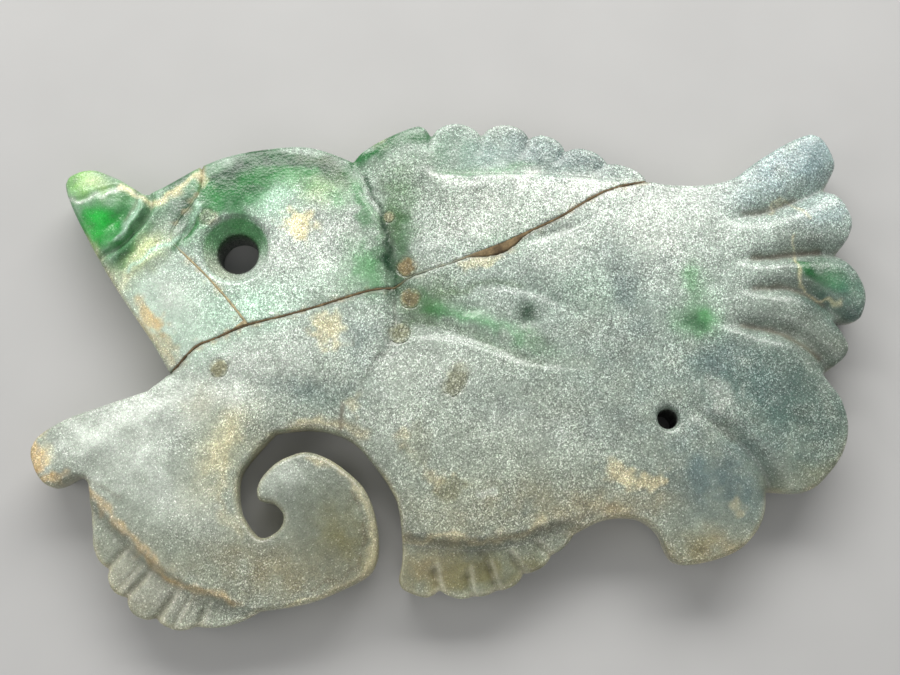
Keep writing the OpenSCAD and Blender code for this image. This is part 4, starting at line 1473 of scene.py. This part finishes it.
PIT_RINGS = 9
PIT_SPOKES = 40
PIT_OVERLAP = 1.04
PLUG_DEPTH = 1.1


def plug_faces():
    """The faces of a plug: rings on its top, its wall and its floor."""
    faces = []
    top_count = (PIT_RINGS + 1) * PIT_SPOKES
    rim = top_count - PIT_SPOKES
    for ring in range(PIT_RINGS):
        i, j = ring * PIT_SPOKES, (ring + 1) * PIT_SPOKES
        for k in range(PIT_SPOKES):
            k2 = (k + 1) % PIT_SPOKES
            faces.append((i + k, j + k, j + k2, i + k2) if ring else (0, j + k, j + k2))
    for k in range(PIT_SPOKES):
        k2 = (k + 1) % PIT_SPOKES
        faces.append((rim + k, top_count + k, top_count + k2, rim + k2))
    faces.append(tuple(range(top_count + PIT_SPOKES - 1, top_count - 1, -1)))
    return faces


def pit_plug(name):
    """A lumpy plug of earth, flush with the face: its points, colour, and grain with painted glints."""
    stretch = FLANK_STRETCH if name == "flank_pit_fill" else 1.0
    rings = np.arange(PIT_RINGS + 1) / PIT_RINGS
    spokes = 2 * math.pi * np.arange(PIT_SPOKES) / PIT_SPOKES
    share, angle = (grid.ravel() for grid in np.meshgrid(rings, spokes, indexing="ij"))
    u = PITS[name] * PIT_OVERLAP * share * np.cos(angle) * stretch
    v = PITS[name] * PIT_OVERLAP * share * np.sin(angle) / stretch
    c, s = math.cos(FLANK_TURN), math.sin(FLANK_TURN)
    p = node_middle(name) + np.stack([c * u - s * v, s * u + c * v], -1)
    face = sample(open_height, p)
    top = face - 0.02 - 0.07 * share**4 + 0.05 * noise(p, 0.9, 121) + 0.04 * noise(p, 0.4, 123)
    foot = np.column_stack([p[-PIT_SPOKES:], np.full(PIT_SPOKES, face.mean() - PLUG_DEPTH)])
    points = np.vstack([np.column_stack([p, top]), foot])

    around_it, _, grain_and_glints = stone_colour(points)
    spread = np.concatenate([share, np.ones(PIT_SPOKES)])
    edge = smooth((spread - 0.55 + 0.25 * noise(points[:, :2], 0.6, 125)) / 0.4)
    colour = layer(np.tile(PIT_EARTH[name], (len(points), 1)), OLIVE, 0.35 * edge)
    return points, layer(colour, around_it, 0.75 * edge), grain_and_glints


for name in PITS:
    points, colour, grain_and_glints = pit_plug(name)
    piece = new_piece(name.replace("fill", "earth"), points, plug_faces(), [name], pit_earth)
    paint(piece, "earth_colour", colour)
    paint_value(piece, "grain_and_glints", grain_and_glints)


# ---------------------------------------------------------------- stage, light and camera

def floor_material():
    """A plain pale cloth, hardly uneven."""
    g = Graph("floor")
    cloth = g.texture("Noise", Scale=CLOTH_SCALE, Detail=2.0).outputs["Fac"]
    return g.shaded({"Base Color": g.ramp(cloth, [(0.3, 0.50), (0.7, 0.52)]), "Roughness": 0.85})


bpy.ops.mesh.primitive_plane_add(size=3, location=(0, 0, 0))
ground = bpy.context.object
ground.name = "floor"
ground.data.materials.append(floor_material())


def soft_light(name, place, size, power, target=(0, 0, 0)):
    """A large soft lamp aimed at a target, in metres and watts."""
    lamp = bpy.data.lights.new(name, "AREA")
    lamp.shape = "RECTANGLE"
    lamp.size, lamp.size_y = size
    lamp.energy = power
    lamp.color = (1.0, 0.985, 0.95)
    obj = bpy.data.objects.new(name, lamp)
    obj.location = place
    obj.rotation_euler = (Vector(target) - Vector(place)).to_track_quat("-Z", "Y").to_euler()
    bpy.context.scene.collection.objects.link(obj)


soft_light("window", (0.0, 0.36, 0.28), (0.6, 0.2), 2.6, target=(0, 0.01, 0))
soft_light("fill_left", (-0.45, -0.05, 0.35), (0.3, 0.3), 0.55)
soft_light("fill_front", (0.0, -0.35, 0.45), (0.5, 0.3), 0.45)

world = bpy.data.worlds.new("studio")
bpy.context.scene.world = world
world.use_nodes = True
world.node_tree.nodes["Background"].inputs["Color"].default_value = (0.98, 0.985, 0.98, 1)
world.node_tree.nodes["Background"].inputs["Strength"].default_value = 0.30
bpy.context.scene.view_settings.view_transform = "Standard"

CAMERA_TILT = 77
CAMERA_DISTANCE = 0.18
target = Vector((-0.59, 3.93, 7.0)) * MM
tilt = math.radians(CAMERA_TILT)
lens = bpy.data.cameras.new("camera")
lens.lens = 50
lens.sensor_width = 36
lens.clip_start = 0.01
camera = bpy.data.objects.new("camera", lens)
camera.location = target + CAMERA_DISTANCE * Vector((0, -math.cos(tilt), math.sin(tilt)))
camera.rotation_euler = (target - camera.location).to_track_quat("-Z", "Y").to_euler()
bpy.context.scene.collection.objects.link(camera)
bpy.context.scene.camera = camera

bpy.context.view_layer.update()
